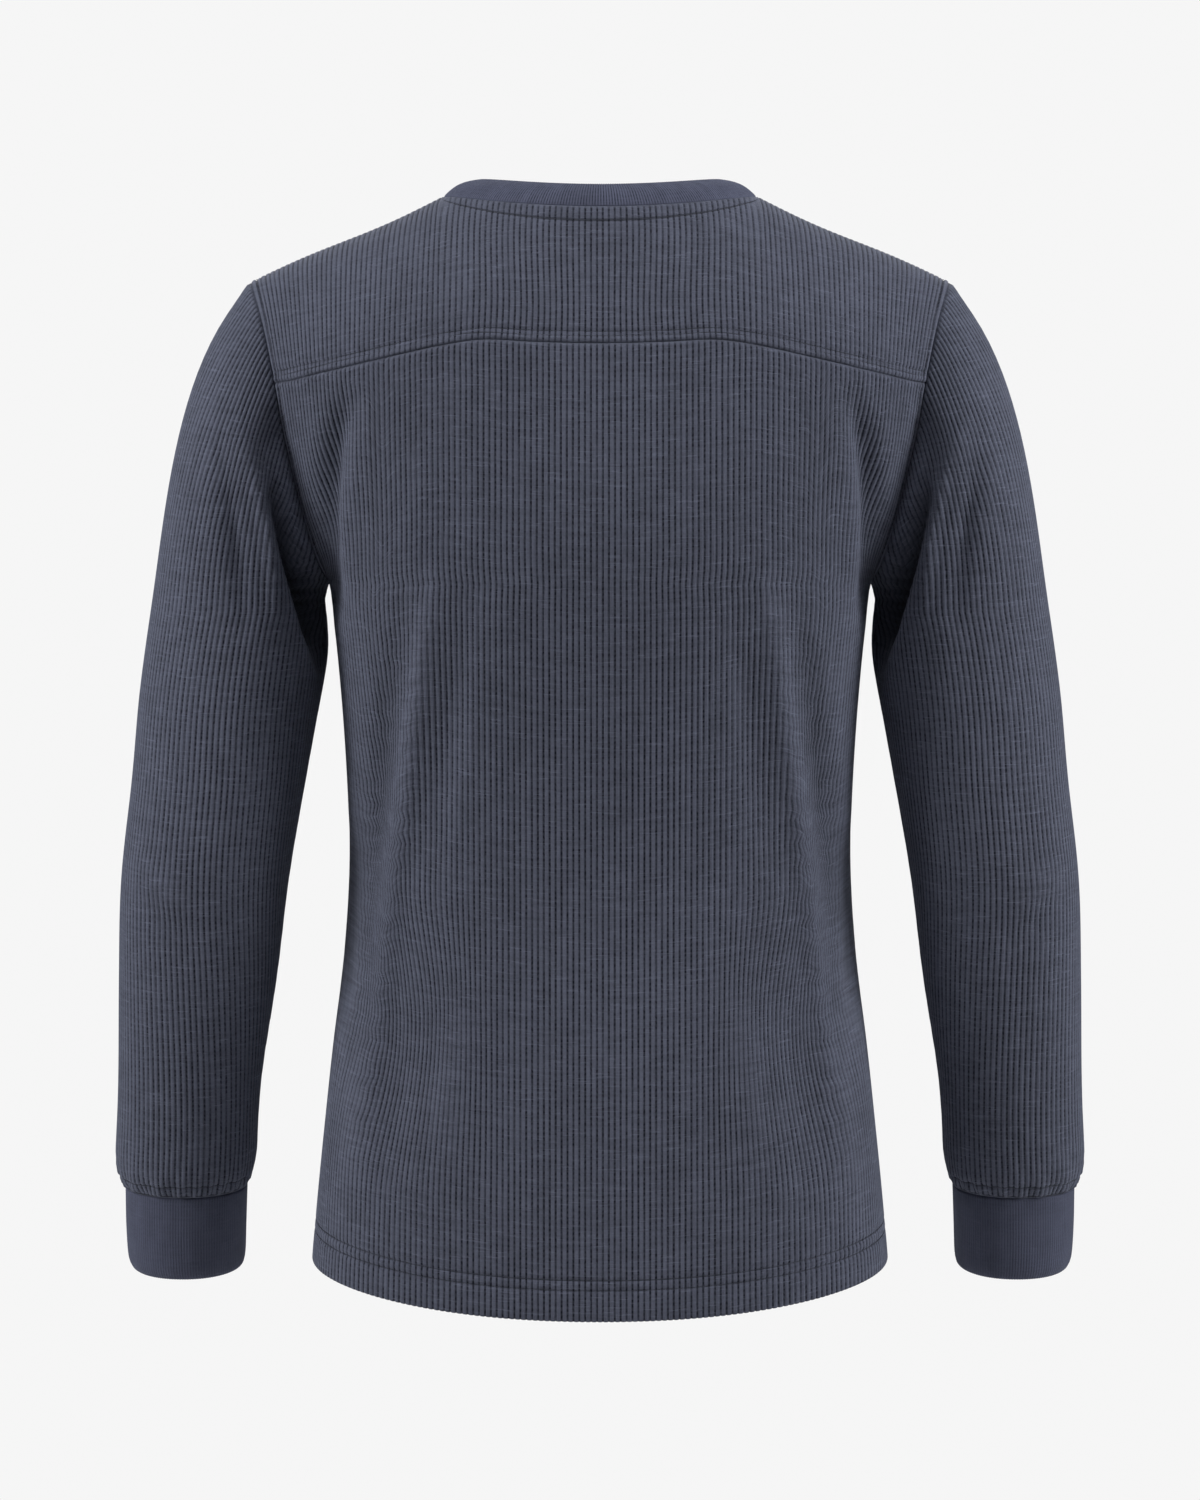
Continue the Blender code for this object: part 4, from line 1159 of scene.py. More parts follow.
def wall_faces(ids, closed, inwards):
    """Faces between the rows of a numbered grid, triangles where a column ends at an edge."""
    if closed:
        ids = np.hstack([ids, ids[:, :1]])
    a, b, c, d = ids[:-1, :-1], ids[:-1, 1:], ids[1:, 1:], ids[1:, :-1]
    full = (a != b) & (c != d)
    upper = (a == b) & (c != d)
    lower = (a != b) & (c == d)
    found = [
        np.column_stack([a[full], b[full], c[full], d[full]]),
        np.column_stack([a[upper], c[upper], d[upper]]),
        np.column_stack([a[lower], b[lower], c[lower]]),
    ]
    return [tuple(face[::-1] if inwards else face) for group in found for face in group.tolist()]


def strip(outer, outer_at, inner, inner_at, downwards):
    """Triangles along an edge, between the outer wall's points and the inner wall's fewer ones."""
    faces = []
    left, right = 0, 0
    while left < len(outer) - 1 or right < len(inner) - 1:
        outer_left, inner_left = left < len(outer) - 1, right < len(inner) - 1
        if outer_left and not (inner_left and inner_at[right + 1] < outer_at[left + 1]):
            face = (outer[left], inner[right], outer[left + 1])
            left += 1
        else:
            face = (outer[left], inner[right], inner[right + 1])
            right += 1
        faces.append(face if downwards else face[::-1])
    return faces


def without_repeats(numbers, at):
    """A row's numbers and places with repeated numbers left out."""
    fresh = np.concatenate([[True], np.diff(numbers) != 0])
    return numbers[fresh].tolist(), at[fresh].tolist()


def rounded_edge(points, out, onward, depth):
    """Rows that carry a wall's outer points round its folded edge."""
    rows = []
    for step in range(1, ROUND_ROWS + 1):
        angle = math.pi * step / (ROUND_ROWS + 1)
        shift = onward * math.sin(angle) - out * (1 - math.cos(angle))
        rows.append(points + shift * depth[:, None] / 2)
    return rows


Outer = namedtuple("Outer", "points rise inside across finish")


def folded(outer, knit, depth, at_foot):
    """The outer rows of a wall with rounded ones added at its folded foot or top."""
    edge, beside, sign = (0, 1, -1) if at_foot else (-1, -2, 1)
    onward = unit(knit.points[edge] - knit.points[beside])
    points = rounded_edge(outer.points[edge], knit.out[edge], onward, depth)
    rise = [outer.rise[edge] + sign * step * depth / 2 for step in range(1, ROUND_ROWS + 1)]
    repeated = ([rows[edge]] * ROUND_ROWS for rows in outer[2:])
    added = (points, rise, *repeated)
    if at_foot:
        return Outer(*(more[::-1] + rows for rows, more in zip(outer, added)))
    return Outer(*(rows + more for rows, more in zip(outer, added)))


def side_faces(outer_ids, inner_ids, round_foot):
    """Faces that close a panel's two side edges, with a fan round the side of a folded foot."""
    faces = []
    lower_rim = ROUND_ROWS if round_foot else 0
    edge_ids = outer_ids[lower_rim : lower_rim + len(inner_ids)]
    for column, turned in ((0, True), (-1, False)):
        outer, inner = edge_ids[:, column], inner_ids[:, column]
        side = list(zip(outer, inner, inner[1:], outer[1:]))
        if round_foot:
            rim = outer_ids[: ROUND_ROWS + 1, column]
            side += [(inner[0], high, low) for low, high in zip(rim, rim[1:])]
        faces += [face[::-1] if turned else face for face in side]
    return faces


def shell(knit, work, wall, closed=False, round_foot=False, round_top=False, mirrored=False):
    """Points, faces, weave coordinates and finish of a piece's wall: ribbed outside, plainer inside."""
    heights = work.relief
    outer = Outer(
        list(knit.points + knit.out * heights[..., None]),
        list(knit.rise),
        list(knit.inside),
        list(knit.across),
        # Per point: painted shading with the puffs' wear, where the ribs lie flat, and the distance from
        # the stitches
        list(np.stack([work.wear, work.faded, work.from_stitches], axis=2)),
    )
    if round_foot:
        outer = folded(outer, knit, wall[0] + heights[0], at_foot=True)
    if round_top:
        outer = folded(outer, knit, wall[-1] + heights[-1], at_foot=False)
    outer = Outer(*(np.array(rows) for rows in outer))
    outer_ids, outer_keep = row_numbers(outer.inside, closed)
    some = np.zeros(len(knit.heights), dtype=bool)
    some[:: len(RIB)] = True
    if not closed:
        some[[0, -1]] = True
    inner = (knit.points - knit.out * wall[:, None, None])[:, some]
    inner_across, inner_rise = knit.across[:, some], knit.rise[:, some]
    inner_ids, inner_keep = row_numbers(knit.inside[:, some], closed, first=outer_keep.sum())
    points = np.vstack([outer.points[outer_keep], inner[inner_keep]])
    plain = np.tile((0, 0, NO_STITCHES), (inner_keep.sum(), 1))
    finish = np.vstack([outer.finish[outer_keep], plain])
    across = np.concatenate([outer.across[outer_keep], inner_across[inner_keep]])
    rise = np.concatenate([outer.rise[outer_keep], inner_rise[inner_keep]])
    faces = wall_faces(outer_ids, closed, False) + wall_faces(inner_ids, closed, True)
    for row, downwards in ((0, True), (-1, False)):
        sides = []
        for ids, at in ((outer_ids[row], outer.across[row]), (inner_ids[row], inner_across[row])):
            numbers, places = without_repeats(ids, at)
            if closed:
                numbers, places = numbers + numbers[:1], places + [np.inf]
            sides += [numbers, places]
        faces += strip(*sides, downwards)
    if not closed:
        faces += side_faces(outer_ids, inner_ids, round_foot)
    if mirrored:
        points = points * MIRRORED
        faces = [face[::-1] for face in faces]
    return points, faces, np.column_stack([across, rise]), finish


def add_cloth(name, built, material, shift, span=math.inf):
    """An object from a wall's points and faces; shift moves its weave off the other pieces'.

    span is a ring's length round, over which its weave closes.
    """
    points, faces, weave, finish = built
    mesh = bpy.data.meshes.new(name)
    mesh.from_pydata(points.tolist(), [], [[int(index) for index in face] for face in faces])
    if mesh.validate():
        raise RuntimeError(f"{name}: the mesh had faults")
    layer = mesh.uv_layers.new(name="weave")
    corners = np.empty(len(mesh.loops), dtype=np.int32)
    mesh.loops.foreach_get("vertex_index", corners)
    at = weave[corners] + (0, shift)
    starts = np.array([face.loop_start for face in mesh.polygons])
    totals = np.array([face.loop_total for face in mesh.polygons])
    furthest = np.repeat(np.maximum.reduceat(at[:, 0], starts), totals)
    at[:, 0] += np.where(furthest - at[:, 0] > span / 2, span, 0)
    layer.data.foreach_set("uv", at.astype(np.float32).ravel())
    layer = mesh.attributes.new("finish", "FLOAT_VECTOR", "POINT")
    layer.data.foreach_set("vector", finish.astype(np.float32).ravel())
    mesh.shade_smooth()
    mesh.materials.append(material)
    piece = bpy.data.objects.new(name, mesh)
    bpy.context.scene.collection.objects.link(piece)
    return piece


# ---------------------------------------------------------------- materials


def node_material(name):
    """A new material made of nodes, and its shader."""
    material = bpy.data.materials.new(name)
    material.use_nodes = True
    return material, material.node_tree.nodes["Principled BSDF"]


def add_node(tree, kind, inputs=(), **settings):
    """A node with its settings; inputs are (socket, value or other node's socket)."""
    node = tree.nodes.new(kind)
    for key, value in settings.items():
        setattr(node, key, value)
    for socket, value in inputs:
        if isinstance(value, bpy.types.NodeSocket):
            tree.links.new(value, node.inputs[socket])
        else:
            node.inputs[socket].default_value = value
    return node


def maths(tree, operation, first, second=0.0, third=0.0):
    """The result of a Math node."""
    inputs = ((0, first), (1, second), (2, third))
    return add_node(tree, "ShaderNodeMath", inputs, operation=operation).outputs[0]


def ranged(tree, value, low, high, to_low, to_high):
    """A value moved softly from one range to another."""
    inputs = (("Value", value), ("From Min", low), ("From Max", high))
    inputs += (("To Min", to_low), ("To Max", to_high))
    node = add_node(tree, "ShaderNodeMapRange", inputs, interpolation_type="SMOOTHSTEP")
    return node.outputs["Result"]


def dimmed(tree, value, by, share):
    """A value made smaller by a share of itself where another value is 1."""
    return maths(tree, "MULTIPLY", value, maths(tree, "MULTIPLY_ADD", by, -share, 1.0))


def noise(tree, place, detail, roughness):
    """Noise at a place, from 0 to 1."""
    inputs = (("Vector", place), ("Scale", 1.0), ("Detail", detail), ("Roughness", roughness))
    return add_node(tree, "ShaderNodeTexNoise", inputs).outputs["Fac"]


def grained(tree, across, along, grain):
    """Noise on the weave, in a grain of the given size."""
    inputs = (
        (0, maths(tree, "MULTIPLY_ADD", across, 1 / grain.across, grain.offset)),
        (1, maths(tree, "MULTIPLY_ADD", along, 1 / grain.along, grain.offset)),
        (2, grain.offset),
    )
    place = add_node(tree, "ShaderNodeCombineXYZ", inputs).outputs[0]
    return noise(tree, place, grain.detail, grain.roughness)


def object_noise(tree, scale, detail):
    """Noise in the object's own place, scaled."""
    coordinates = add_node(tree, "ShaderNodeTexCoord").outputs["Object"]
    place = add_node(tree, "ShaderNodeMapping", (("Vector", coordinates), ("Scale", scale)))
    return noise(tree, place.outputs["Vector"], detail, 0.5)


def mixed(tree, share, first, second, blend_type="MIX"):
    """Two colours mixed by a share, or with another way of blending."""
    node = tree.nodes.new("ShaderNodeMix")
    node.data_type = "RGBA"
    node.blend_type = blend_type
    for socket, value in (("Factor_Float", share), ("A_Color", first), ("B_Color", second)):
        target = next(entry for entry in node.inputs if entry.identifier == socket)
        if isinstance(value, bpy.types.NodeSocket):
            tree.links.new(value, target)
        else:
            target.default_value = value
    return next(entry for entry in node.outputs if entry.identifier == "Result_Color")


def opaque(colour):
    """A colour with full alpha."""
    return (*colour, 1.0)


def groove_shade(tree, across, along, faded, slub_line, pitch, knitting):
    """How strongly a groove's painted shade shows: ticked, uneven, and taken away where the ribs lie
    flat.
    """
    turn = maths(tree, "FRACT", maths(tree, "DIVIDE", across, pitch))
    from_groove = maths(tree, "ABSOLUTE", maths(tree, "SUBTRACT", turn, 0.5))
    groove = ranged(tree, from_groove, knitting.groove_from, knitting.groove_to, 1.0, 0.0)
    turns = maths(tree, "MULTIPLY", grained(tree, across, along, TURN_GRAIN), TICK_TURNS)
    tick = maths(tree, "SINE", maths(tree, "MULTIPLY_ADD", along, 2 * math.pi / knitting.tick, turns))
    ticked = maths(tree, "MULTIPLY_ADD", tick, TICK_SHADE, 1 - TICK_SHADE)
    groove = maths(tree, "MULTIPLY", groove, ticked)
    for grain, ramp in ((UNEVEN_GRAIN, UNEVEN_GROOVES), (GROOVE_DEPTH_GRAIN, GROOVE_DEPTH_SHADE)):
        uneven = ranged(tree, grained(tree, across, along, grain), *ramp)
        groove = maths(tree, "MULTIPLY", groove, uneven)
    groove = dimmed(tree, groove, faded, FLATTENED_GROOVE)
    return dimmed(tree, groove, slub_line, SLUB_OVER_GROOVE)


def yarn_shade(tree, across, along, faded, slub_line, speckle, knitting):
    """How light the yarn is: slubs, streaks, heather, uneven ribs and larger clouds."""
    streak = maths(tree, "SUBTRACT", grained(tree, across, along, STREAK_GRAIN), 0.5)
    streak = maths(tree, "MULTIPLY", streak, maths(tree, "MULTIPLY_ADD", faded, FADED_STREAKS, 1.0))
    shade = maths(tree, "MULTIPLY_ADD", slub_line, knitting.slub, 1.0)
    shade = maths(tree, "MULTIPLY_ADD", streak, knitting.streak, shade)
    for pattern, share in (
        (speckle, knitting.heather),
        (grained(tree, across, along, RIB_GRAIN), RIB_SHADE),
        (grained(tree, across, along, BLOTCH_GRAIN), BLOTCH_SHADE),
        (object_noise(tree, CLOUD_SCALE, CLOUD_DETAIL), CLOUD_SHADE),
    ):
        middle = maths(tree, "SUBTRACT", pattern, 0.5)
        shade = maths(tree, "MULTIPLY_ADD", middle, share, shade)
    return shade


def loop_relief(tree, across, along, slub_line, speckle, pitch, knitting):
    """The normal of the fine surface: loops in courses and wales, slubs and speckle."""
    course = maths(tree, "SINE", maths(tree, "MULTIPLY", along, 2 * math.pi / knitting.course))
    wale = maths(tree, "SINE", maths(tree, "MULTIPLY", across, 2 * math.pi / (pitch / LOOPS_IN_RIB)))
    loops = maths(tree, "MULTIPLY", maths(tree, "MULTIPLY_ADD", course, 0.5, 0.5), wale)
    relief = maths(tree, "MULTIPLY_ADD", loops, LOOP_RELIEF, speckle)
    relief = maths(tree, "MULTIPLY_ADD", slub_line, SLUB_RELIEF, relief)
    inputs = (("Height", relief), ("Distance", knitting.bump), ("Strength", 1.0))
    return add_node(tree, "ShaderNodeBump", inputs).outputs["Normal"]


def knit_material(name, settings, knitting, finish):
    """Cotton knit: ribs, painted shade in the grooves, slubs along the courses, heather, painted shading
    and a fine uneven surface.
    """
    material, shader = node_material(name)
    tree = material.node_tree
    weave = add_node(tree, "ShaderNodeUVMap", uv_map="weave").outputs["UV"]
    split = add_node(tree, "ShaderNodeSeparateXYZ", (("Vector", weave),))
    across, along = split.outputs["X"], split.outputs["Y"]
    finished = add_node(tree, "ShaderNodeAttribute", attribute_name="finish").outputs["Vector"]
    finished = add_node(tree, "ShaderNodeSeparateXYZ", (("Vector", finished),))
    wear, faded, from_stitches = (finished.outputs[axis] for axis in "XYZ")
    slub_line = ranged(tree, grained(tree, across, along, SLUB_GRAIN), *SLUB_LINES)
    speckle = grained(tree, across, along, SPECKLE_GRAIN)

    pitch = settings.rib_pitch
    groove = groove_shade(tree, across, along, faded, slub_line, pitch, knitting)
    # Painted shade in the grooves between the ribs
    cloth = mixed(tree, groove, opaque(settings.rib_colour), opaque(settings.painted_groove_shade))
    shade = yarn_shade(tree, across, along, faded, slub_line, speckle, knitting)
    # Painted shade in troughs and seam grooves, painted light on ridges and the neckband, and the puffs'
    # wear
    shade = maths(tree, "MULTIPLY", shade, maths(tree, "ADD", wear, 1.0))
    # Painted shade of a stitch row's dent, drawn as a dark line along it
    painted_stitch_shade = ranged(tree, from_stitches, STITCH_LINE / 3, STITCH_LINE, 1.0, 0.0)
    painted_stitch_shade = maths(tree, "MULTIPLY", painted_stitch_shade, ranged(tree, speckle, *UNEVEN_STITCHES))
    shade = dimmed(tree, shade, painted_stitch_shade, STITCH_SHADE)
    tint = add_node(tree, "ShaderNodeCombineColor", (("Red", shade), ("Green", shade), ("Blue", shade)))
    coloured = mixed(tree, 1.0, cloth, tint.outputs["Color"], blend_type="MULTIPLY")
    tree.links.new(coloured, shader.inputs["Base Color"])

    normal = loop_relief(tree, across, along, slub_line, speckle, pitch, knitting)
    tree.links.new(normal, shader.inputs["Normal"])
    shader.inputs["Roughness"].default_value = finish.roughness
    shader.inputs["Sheen Weight"].default_value = finish.sheen
    shader.inputs["Sheen Roughness"].default_value = SHEEN_ROUGHNESS
    shader.inputs["Sheen Tint"].default_value = opaque(SHEEN_TINT)
    shader.inputs["Specular IOR Level"].default_value = SPECULAR
    return material


def plain_material(name, colour, roughness):
    """A plain finish with slight unevenness."""
    material, shader = node_material(name)
    tree = material.node_tree
    dark = opaque([part * (1 - PLAIN_UNEVEN) for part in colour])
    light = opaque([min(part * (1 + PLAIN_UNEVEN), 1.0) for part in colour])
    coloured = mixed(tree, object_noise(tree, PLAIN_SCALE, 1.0), dark, light)
    tree.links.new(coloured, shader.inputs["Base Color"])
    shader.inputs["Roughness"].default_value = roughness
    return material


def material_named(name, make):
    """A material that is made the first time it is asked for."""
    return bpy.data.materials.get(name) or make(name)


def ribbed_cotton():
    """The ribbed cloth's material."""
    settings = bpy.context.scene.top_cloth
    return material_named(
        "ribbed_cotton_knit", lambda name: knit_material(name, settings, RIB_KNITTING, RIB_FINISH)
    )


def band_cotton():
    """The material of the neckband and cuffs."""
    settings = bpy.context.scene.top_bands
    return material_named(
        "band_cotton_knit", lambda name: knit_material(name, settings, BAND_KNITTING, BAND_FINISH)
    )


def thread():
    """The sewing thread's material."""
    colour = tuple(bpy.context.scene.top_stitches.colour)
    return material_named("sewing_thread", lambda name: plain_material(name, colour, THREAD_ROUGHNESS))


# ---------------------------------------------------------------- cut pieces

Panel = namedtuple("Panel", "name node grid has_hem has_neck row_step close_above weave_shift")


def settle(piece, node):
    """Say where a sewn piece rides, and hide the plain part that it stands for."""
    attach(piece, BODY)
    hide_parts(node)


def panel_edges(panel, knit):
    """The seams and stitches of a panel of the body."""
    everywhere = np.ones(knit.rise.shape)
    at_armhole = smooth_step((knit.points[..., 2] - UNDERARM_Z) / ARMHOLE_STITCHES_END)
    at_neck = smooth_step((NECK_HALF_WIDTH - np.abs(knit.points[..., 0])) / NECK_STITCHES_END)
    top_rolled = NECK_ROLLED if panel.has_neck else YOKE_ROLLED
    armhole_line = (0, ARMHOLE_STITCH, (ARMHOLE_STITCH,), FAINT_LINE_WIDTH)
    edges = [
        EdgeWork(knit.gap, knit.rise, everywhere, ARMHOLE_ROLLED, None, ()),
        EdgeWork(knit.gap, knit.rise, at_armhole, *armhole_line),
        EdgeWork(knit.fall, knit.across, everywhere, top_rolled, None, ()),
    ]
    if panel.has_hem:
        edges.append(EdgeWork(knit.rise, knit.across, everywhere, 0, None, HEM_STITCHES))
    else:
        yoke_line = (YOKE_ROLLED, YOKE_STITCHES[-1], YOKE_STITCHES, FAINT_LINE_WIDTH)
        edges.append(EdgeWork(knit.rise, knit.across, everywhere, *yoke_line))
    if panel.has_neck:
        neck_line = (0, None, (NECK_STITCH,), NECK_LINE_WIDTH)
        edges.append(EdgeWork(knit.fall, knit.across, at_neck, *neck_line))
    return edges


def add_panel(panel):
    """One panel of the body, knitted, worked at its seams and added."""
    settings = bpy.context.scene.top_cloth
    length = panel.grid.rise[-1].mean()
    at_foot = (0, BESIDE_SEAM)
    if panel.has_hem:
        at_foot = (HEM_STITCHES[0] - BESIDE_HEM_STITCHES, HEM_STITCHES[1] + BESIDE_HEM_STITCHES)
    places = row_places(length, (at_foot, (length - panel.close_above, math.inf)), panel.row_step)
    columns, heights = rib_columns(np.abs(panel.grid.across).max(), settings.rib_pitch)
    knit = knitted(panel.grid, places, columns, heights)
    work = worked(knit, settings.rib_height, panel_edges(panel, knit))
    wall = np.where(panel.has_hem & (places < HEM_DEPTH), HEM_WALL, CLOTH_WALL)
    built = shell(knit, work, wall, round_foot=panel.has_hem)
    piece = add_cloth(panel.name, built, ribbed_cotton(), panel.weave_shift)
    settle(piece, panel.node)


def add_sleeve(name, node, mirrored, weave_shift):
    """One sleeve; the left one is the right one mirrored."""
    settings = bpy.context.scene.top_cloth
    grid = grids()["sleeve"]
    length = grid.rise[-1].mean()
    close = ((0, BESIDE_SEAM), (length - BESIDE_SEAM, math.inf))
    places = row_places(length, close, SLEEVE_ROW_STEP)
    columns, heights = rib_columns(np.abs(grid.across).max(), settings.rib_pitch)
    knit = knitted(grid, places, columns, heights)
    everywhere = np.ones(knit.rise.shape)
    edges = (
        EdgeWork(knit.gap, knit.rise, everywhere, ARMHOLE_ROLLED, None, ()),
        EdgeWork(knit.fall, knit.across, everywhere, ARMHOLE_ROLLED, None, ()),
        EdgeWork(knit.rise, knit.across, everywhere, CUFF_ROLLED, None, CUFF_STITCHES),
    )
    work = worked(knit, settings.rib_height, edges)
    ripple = waves(knit.across, GATHERS, knit.rise * GATHER_LEAN)
    above_cuff = np.exp(-knit.rise / GATHER_REACH) * smooth_step(knit.rise / GATHER_START)
    work = work._replace(relief=work.relief + GATHER * ripple * above_cuff)
    built = shell(knit, work, np.full(len(places), CLOTH_WALL), mirrored=mirrored)
    piece = add_cloth(name, built, ribbed_cotton(), weave_shift)
    settle(piece, node)


def add_ring(name, node, grid, folded_edge, mirrored, weave_shift):
    """A band knitted round in fine ribs: the neckband, folded at its top, or a cuff, at its foot."""
    settings = bpy.context.scene.top_bands
    first, last = grid.across[0, 0], grid.across[0, -1]
    columns, heights, ribs = ring_columns(last - first, settings.rib_pitch)
    length = grid.rise[-1].mean()
    sewn = (length - BESIDE_SEAM, math.inf) if folded_edge == "foot" else (0, BESIDE_SEAM)
    knit = knitted(grid, row_places(length, (sewn,), BAND_ROW_STEP), columns + first, heights, True)
    everywhere = np.ones(knit.rise.shape)
    from_seam = knit.fall if folded_edge == "foot" else knit.rise
    seam = EdgeWork(from_seam, knit.across, everywhere, CUFF_ROLLED, None, ())
    points, faces, weave, finish = shell(
        knit,
        worked(knit, settings.rib_height, (seam,)),
        np.full(len(knit.points), BAND_WALL),
        closed=True,
        round_foot=folded_edge == "foot",
        round_top=folded_edge == "top",
        mirrored=mirrored,
    )
    span = ribs * settings.rib_pitch
    weave[:, 0] = (weave[:, 0] - first) * span / (last - first)
    piece = add_cloth(name, (points, faces, weave, finish), band_cotton(), weave_shift, span)
    settle(piece, node)


# ---------------------------------------------------------------- stitches


def column_path(grid, distance, from_top=False, columns=slice(None)):
    """A line of stitches across a grid's columns at a distance from their feet or tops."""
    points, out = grid.points[:, columns], grid.out[:, columns]
    rise = grid.rise[:, columns]
    path = []
    for column in range(points.shape[1]):
        at = rise[-1, column] - distance if from_top else distance
        channels = np.hstack([points[:, column], out[:, column]])
        path.append([np.interp(at, rise[:, column], channel) for channel in channels.T])
    path = np.array(path)
    return path[:, :3], unit(path[:, 3:])


def edge_path(grid, distance, last_edge):
    """A line of stitches up a panel at a distance from one of its side edges, from the underarm up."""
    path = []
    for points, out, across in zip(grid.points, grid.out, grid.across):
        edge = across[-1] if last_edge else across[0]
        if points[-1 if last_edge else 0, 2] < UNDERARM_Z:
            continue
        at = edge - distance if last_edge else edge + distance
        path.append([np.interp(at, across, channel) for channel in np.hstack([points, out]).T])
    path = np.array(path)
    return path[:, :3], unit(path[:, 3:])


def mirrored_path(path):
    """A path on the other side of the top."""
    points, out = path
    return points * MIRRORED, out * MIRRORED


def stitch_tree(material):
    """The node group that lays stitches along paths, with their flat side to the cloth."""
    tree = bpy.data.node_groups.new("stitch_run", "GeometryNodeTree")
    tree.interface.new_socket("Paths", in_out="INPUT", socket_type="NodeSocketGeometry")
    for name in ("Length", "Spacing", "Thickness"):
        tree.interface.new_socket(name, in_out="INPUT", socket_type="NodeSocketFloat")
    tree.interface.new_socket("Stitches", in_out="OUTPUT", socket_type="NodeSocketGeometry")
    given = tree.nodes.new("NodeGroupInput").outputs
    curves = add_node(tree, "GeometryNodeMeshToCurve", ((0, given["Paths"]),))
    inputs = (("Curve", curves.outputs[0]), ("Length", given["Spacing"]))
    evenly = add_node(tree, "GeometryNodeResampleCurve", inputs, mode="LENGTH")
    facing = add_node(tree, "GeometryNodeInputNamedAttribute", data_type="FLOAT_VECTOR")
    facing.inputs["Name"].default_value = "facing"
    tangent = tree.nodes.new("GeometryNodeInputTangent")
    inputs = ((0, tangent.outputs[0]), (1, facing.outputs["Attribute"]))
    turn = add_node(
        tree, "FunctionNodeAxesToRotation", inputs, primary_axis="Z", secondary_axis="X"
    )
    inputs = (("Segments", STITCH_SEGMENTS), ("Rings", STITCH_RINGS), ("Radius", 0.5))
    stitch = add_node(tree, "GeometryNodeMeshUVSphere", inputs)
    inputs = ((0, given["Thickness"]), (1, given["Thickness"]), (2, given["Length"]))
    size = add_node(tree, "ShaderNodeCombineXYZ", inputs)
    inputs = (
        ("Points", evenly.outputs[0]),
        ("Instance", stitch.outputs["Mesh"]),
        ("Rotation", turn.outputs[0]),
        ("Scale", size.outputs[0]),
    )
    laid = add_node(tree, "GeometryNodeInstanceOnPoints", inputs)
    real = add_node(tree, "GeometryNodeRealizeInstances", ((0, laid.outputs[0]),))
    finished = add_node(
        tree, "GeometryNodeSetMaterial", (("Geometry", real.outputs[0]), ("Material", material))
    )
    result = tree.nodes.new("NodeGroupOutput")
    tree.links.new(finished.outputs[0], result.inputs[0])
    return tree


def add_stitches(name, paths):
    """The stitches along some paths, as one plain mesh."""
    settings = bpy.context.scene.top_stitches
    points = np.vstack([path[0] + path[1] * STITCH_LIFT for path in paths])
    facing = np.vstack([path[1] for path in paths])
    ends = np.cumsum([len(path[0]) for path in paths])
    edges = [(index, index + 1) for index in range(ends[-1] - 1) if index + 1 not in ends]
    mesh = bpy.data.meshes.new(name + "_paths")
    mesh.from_pydata(points.tolist(), edges, [])
    layer = mesh.attributes.new("facing", "FLOAT_VECTOR", "POINT")
    layer.data.foreach_set("vector", facing.astype(np.float32).ravel())
    line = bpy.data.objects.new(name + "_paths", mesh)
    bpy.context.scene.collection.objects.link(line)
    tree = bpy.data.node_groups.get("stitch_run") or stitch_tree(thread())
    modifier = line.modifiers.new("Stitches", "NODES")
    modifier.node_group = tree
    sizes = {
        "Length": settings.length,
        "Spacing": settings.spacing,
        "Thickness": settings.thickness,
    }
    for socket in tree.interface.items_tree:
        if socket.name in sizes:
            modifier[socket.identifier] = sizes[socket.name]
    seen = line.evaluated_get(bpy.context.evaluated_depsgraph_get())
    result = bpy.data.meshes.new_from_object(seen)
    result.name = name
    result.shade_smooth()
    bpy.data.objects.remove(line)
    piece = bpy.data.objects.new(name, result)
    bpy.context.scene.collection.objects.link(piece)
    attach(piece, BODY)


# ---------------------------------------------------------------- stage


def add_lamp(name, lamp, side, power):
    """A square soft light on one side, turned towards the top."""
    data = bpy.data.lights.new(name, "AREA")
    data.shape = "SQUARE"
    data.size = lamp.size
    data.energy = power
    light = bpy.data.objects.new(name, data)
    light.location = (side * lamp.x, lamp.y, lamp.z)
    light.rotation_euler = (Vector(LIT_POINT) - light.location).to_track_quat("-Z", "Y").to_euler()
    bpy.context.scene.collection.objects.link(light)


def pale_world(background, fill):
    """A plain pale background for the camera, and an even weaker light from all round."""
    world = bpy.data.worlds.new("studio")
    bpy.context.scene.world = world
    world.use_nodes = True
    tree = world.node_tree
    tree.nodes.clear()
    light = add_node(tree, "ShaderNodeBackground", (("Color", (1, 1, 1, 1)), ("Strength", fill)))
    seen = add_node(tree, "ShaderNodeBackground", (("Color", (1, 1, 1, 1)), ("Strength", background)))
    rays = tree.nodes.new("ShaderNodeLightPath")
    inputs = ((0, rays.outputs["Is Camera Ray"]), (1, light.outputs[0]), (2, seen.outputs[0]))
    either = add_node(tree, "ShaderNodeMixShader", inputs)
    result = tree.nodes.new("ShaderNodeOutputWorld")
    tree.links.new(either.outputs[0], result.inputs["Surface"])


# ---------------------------------------------------------------- operators and panel


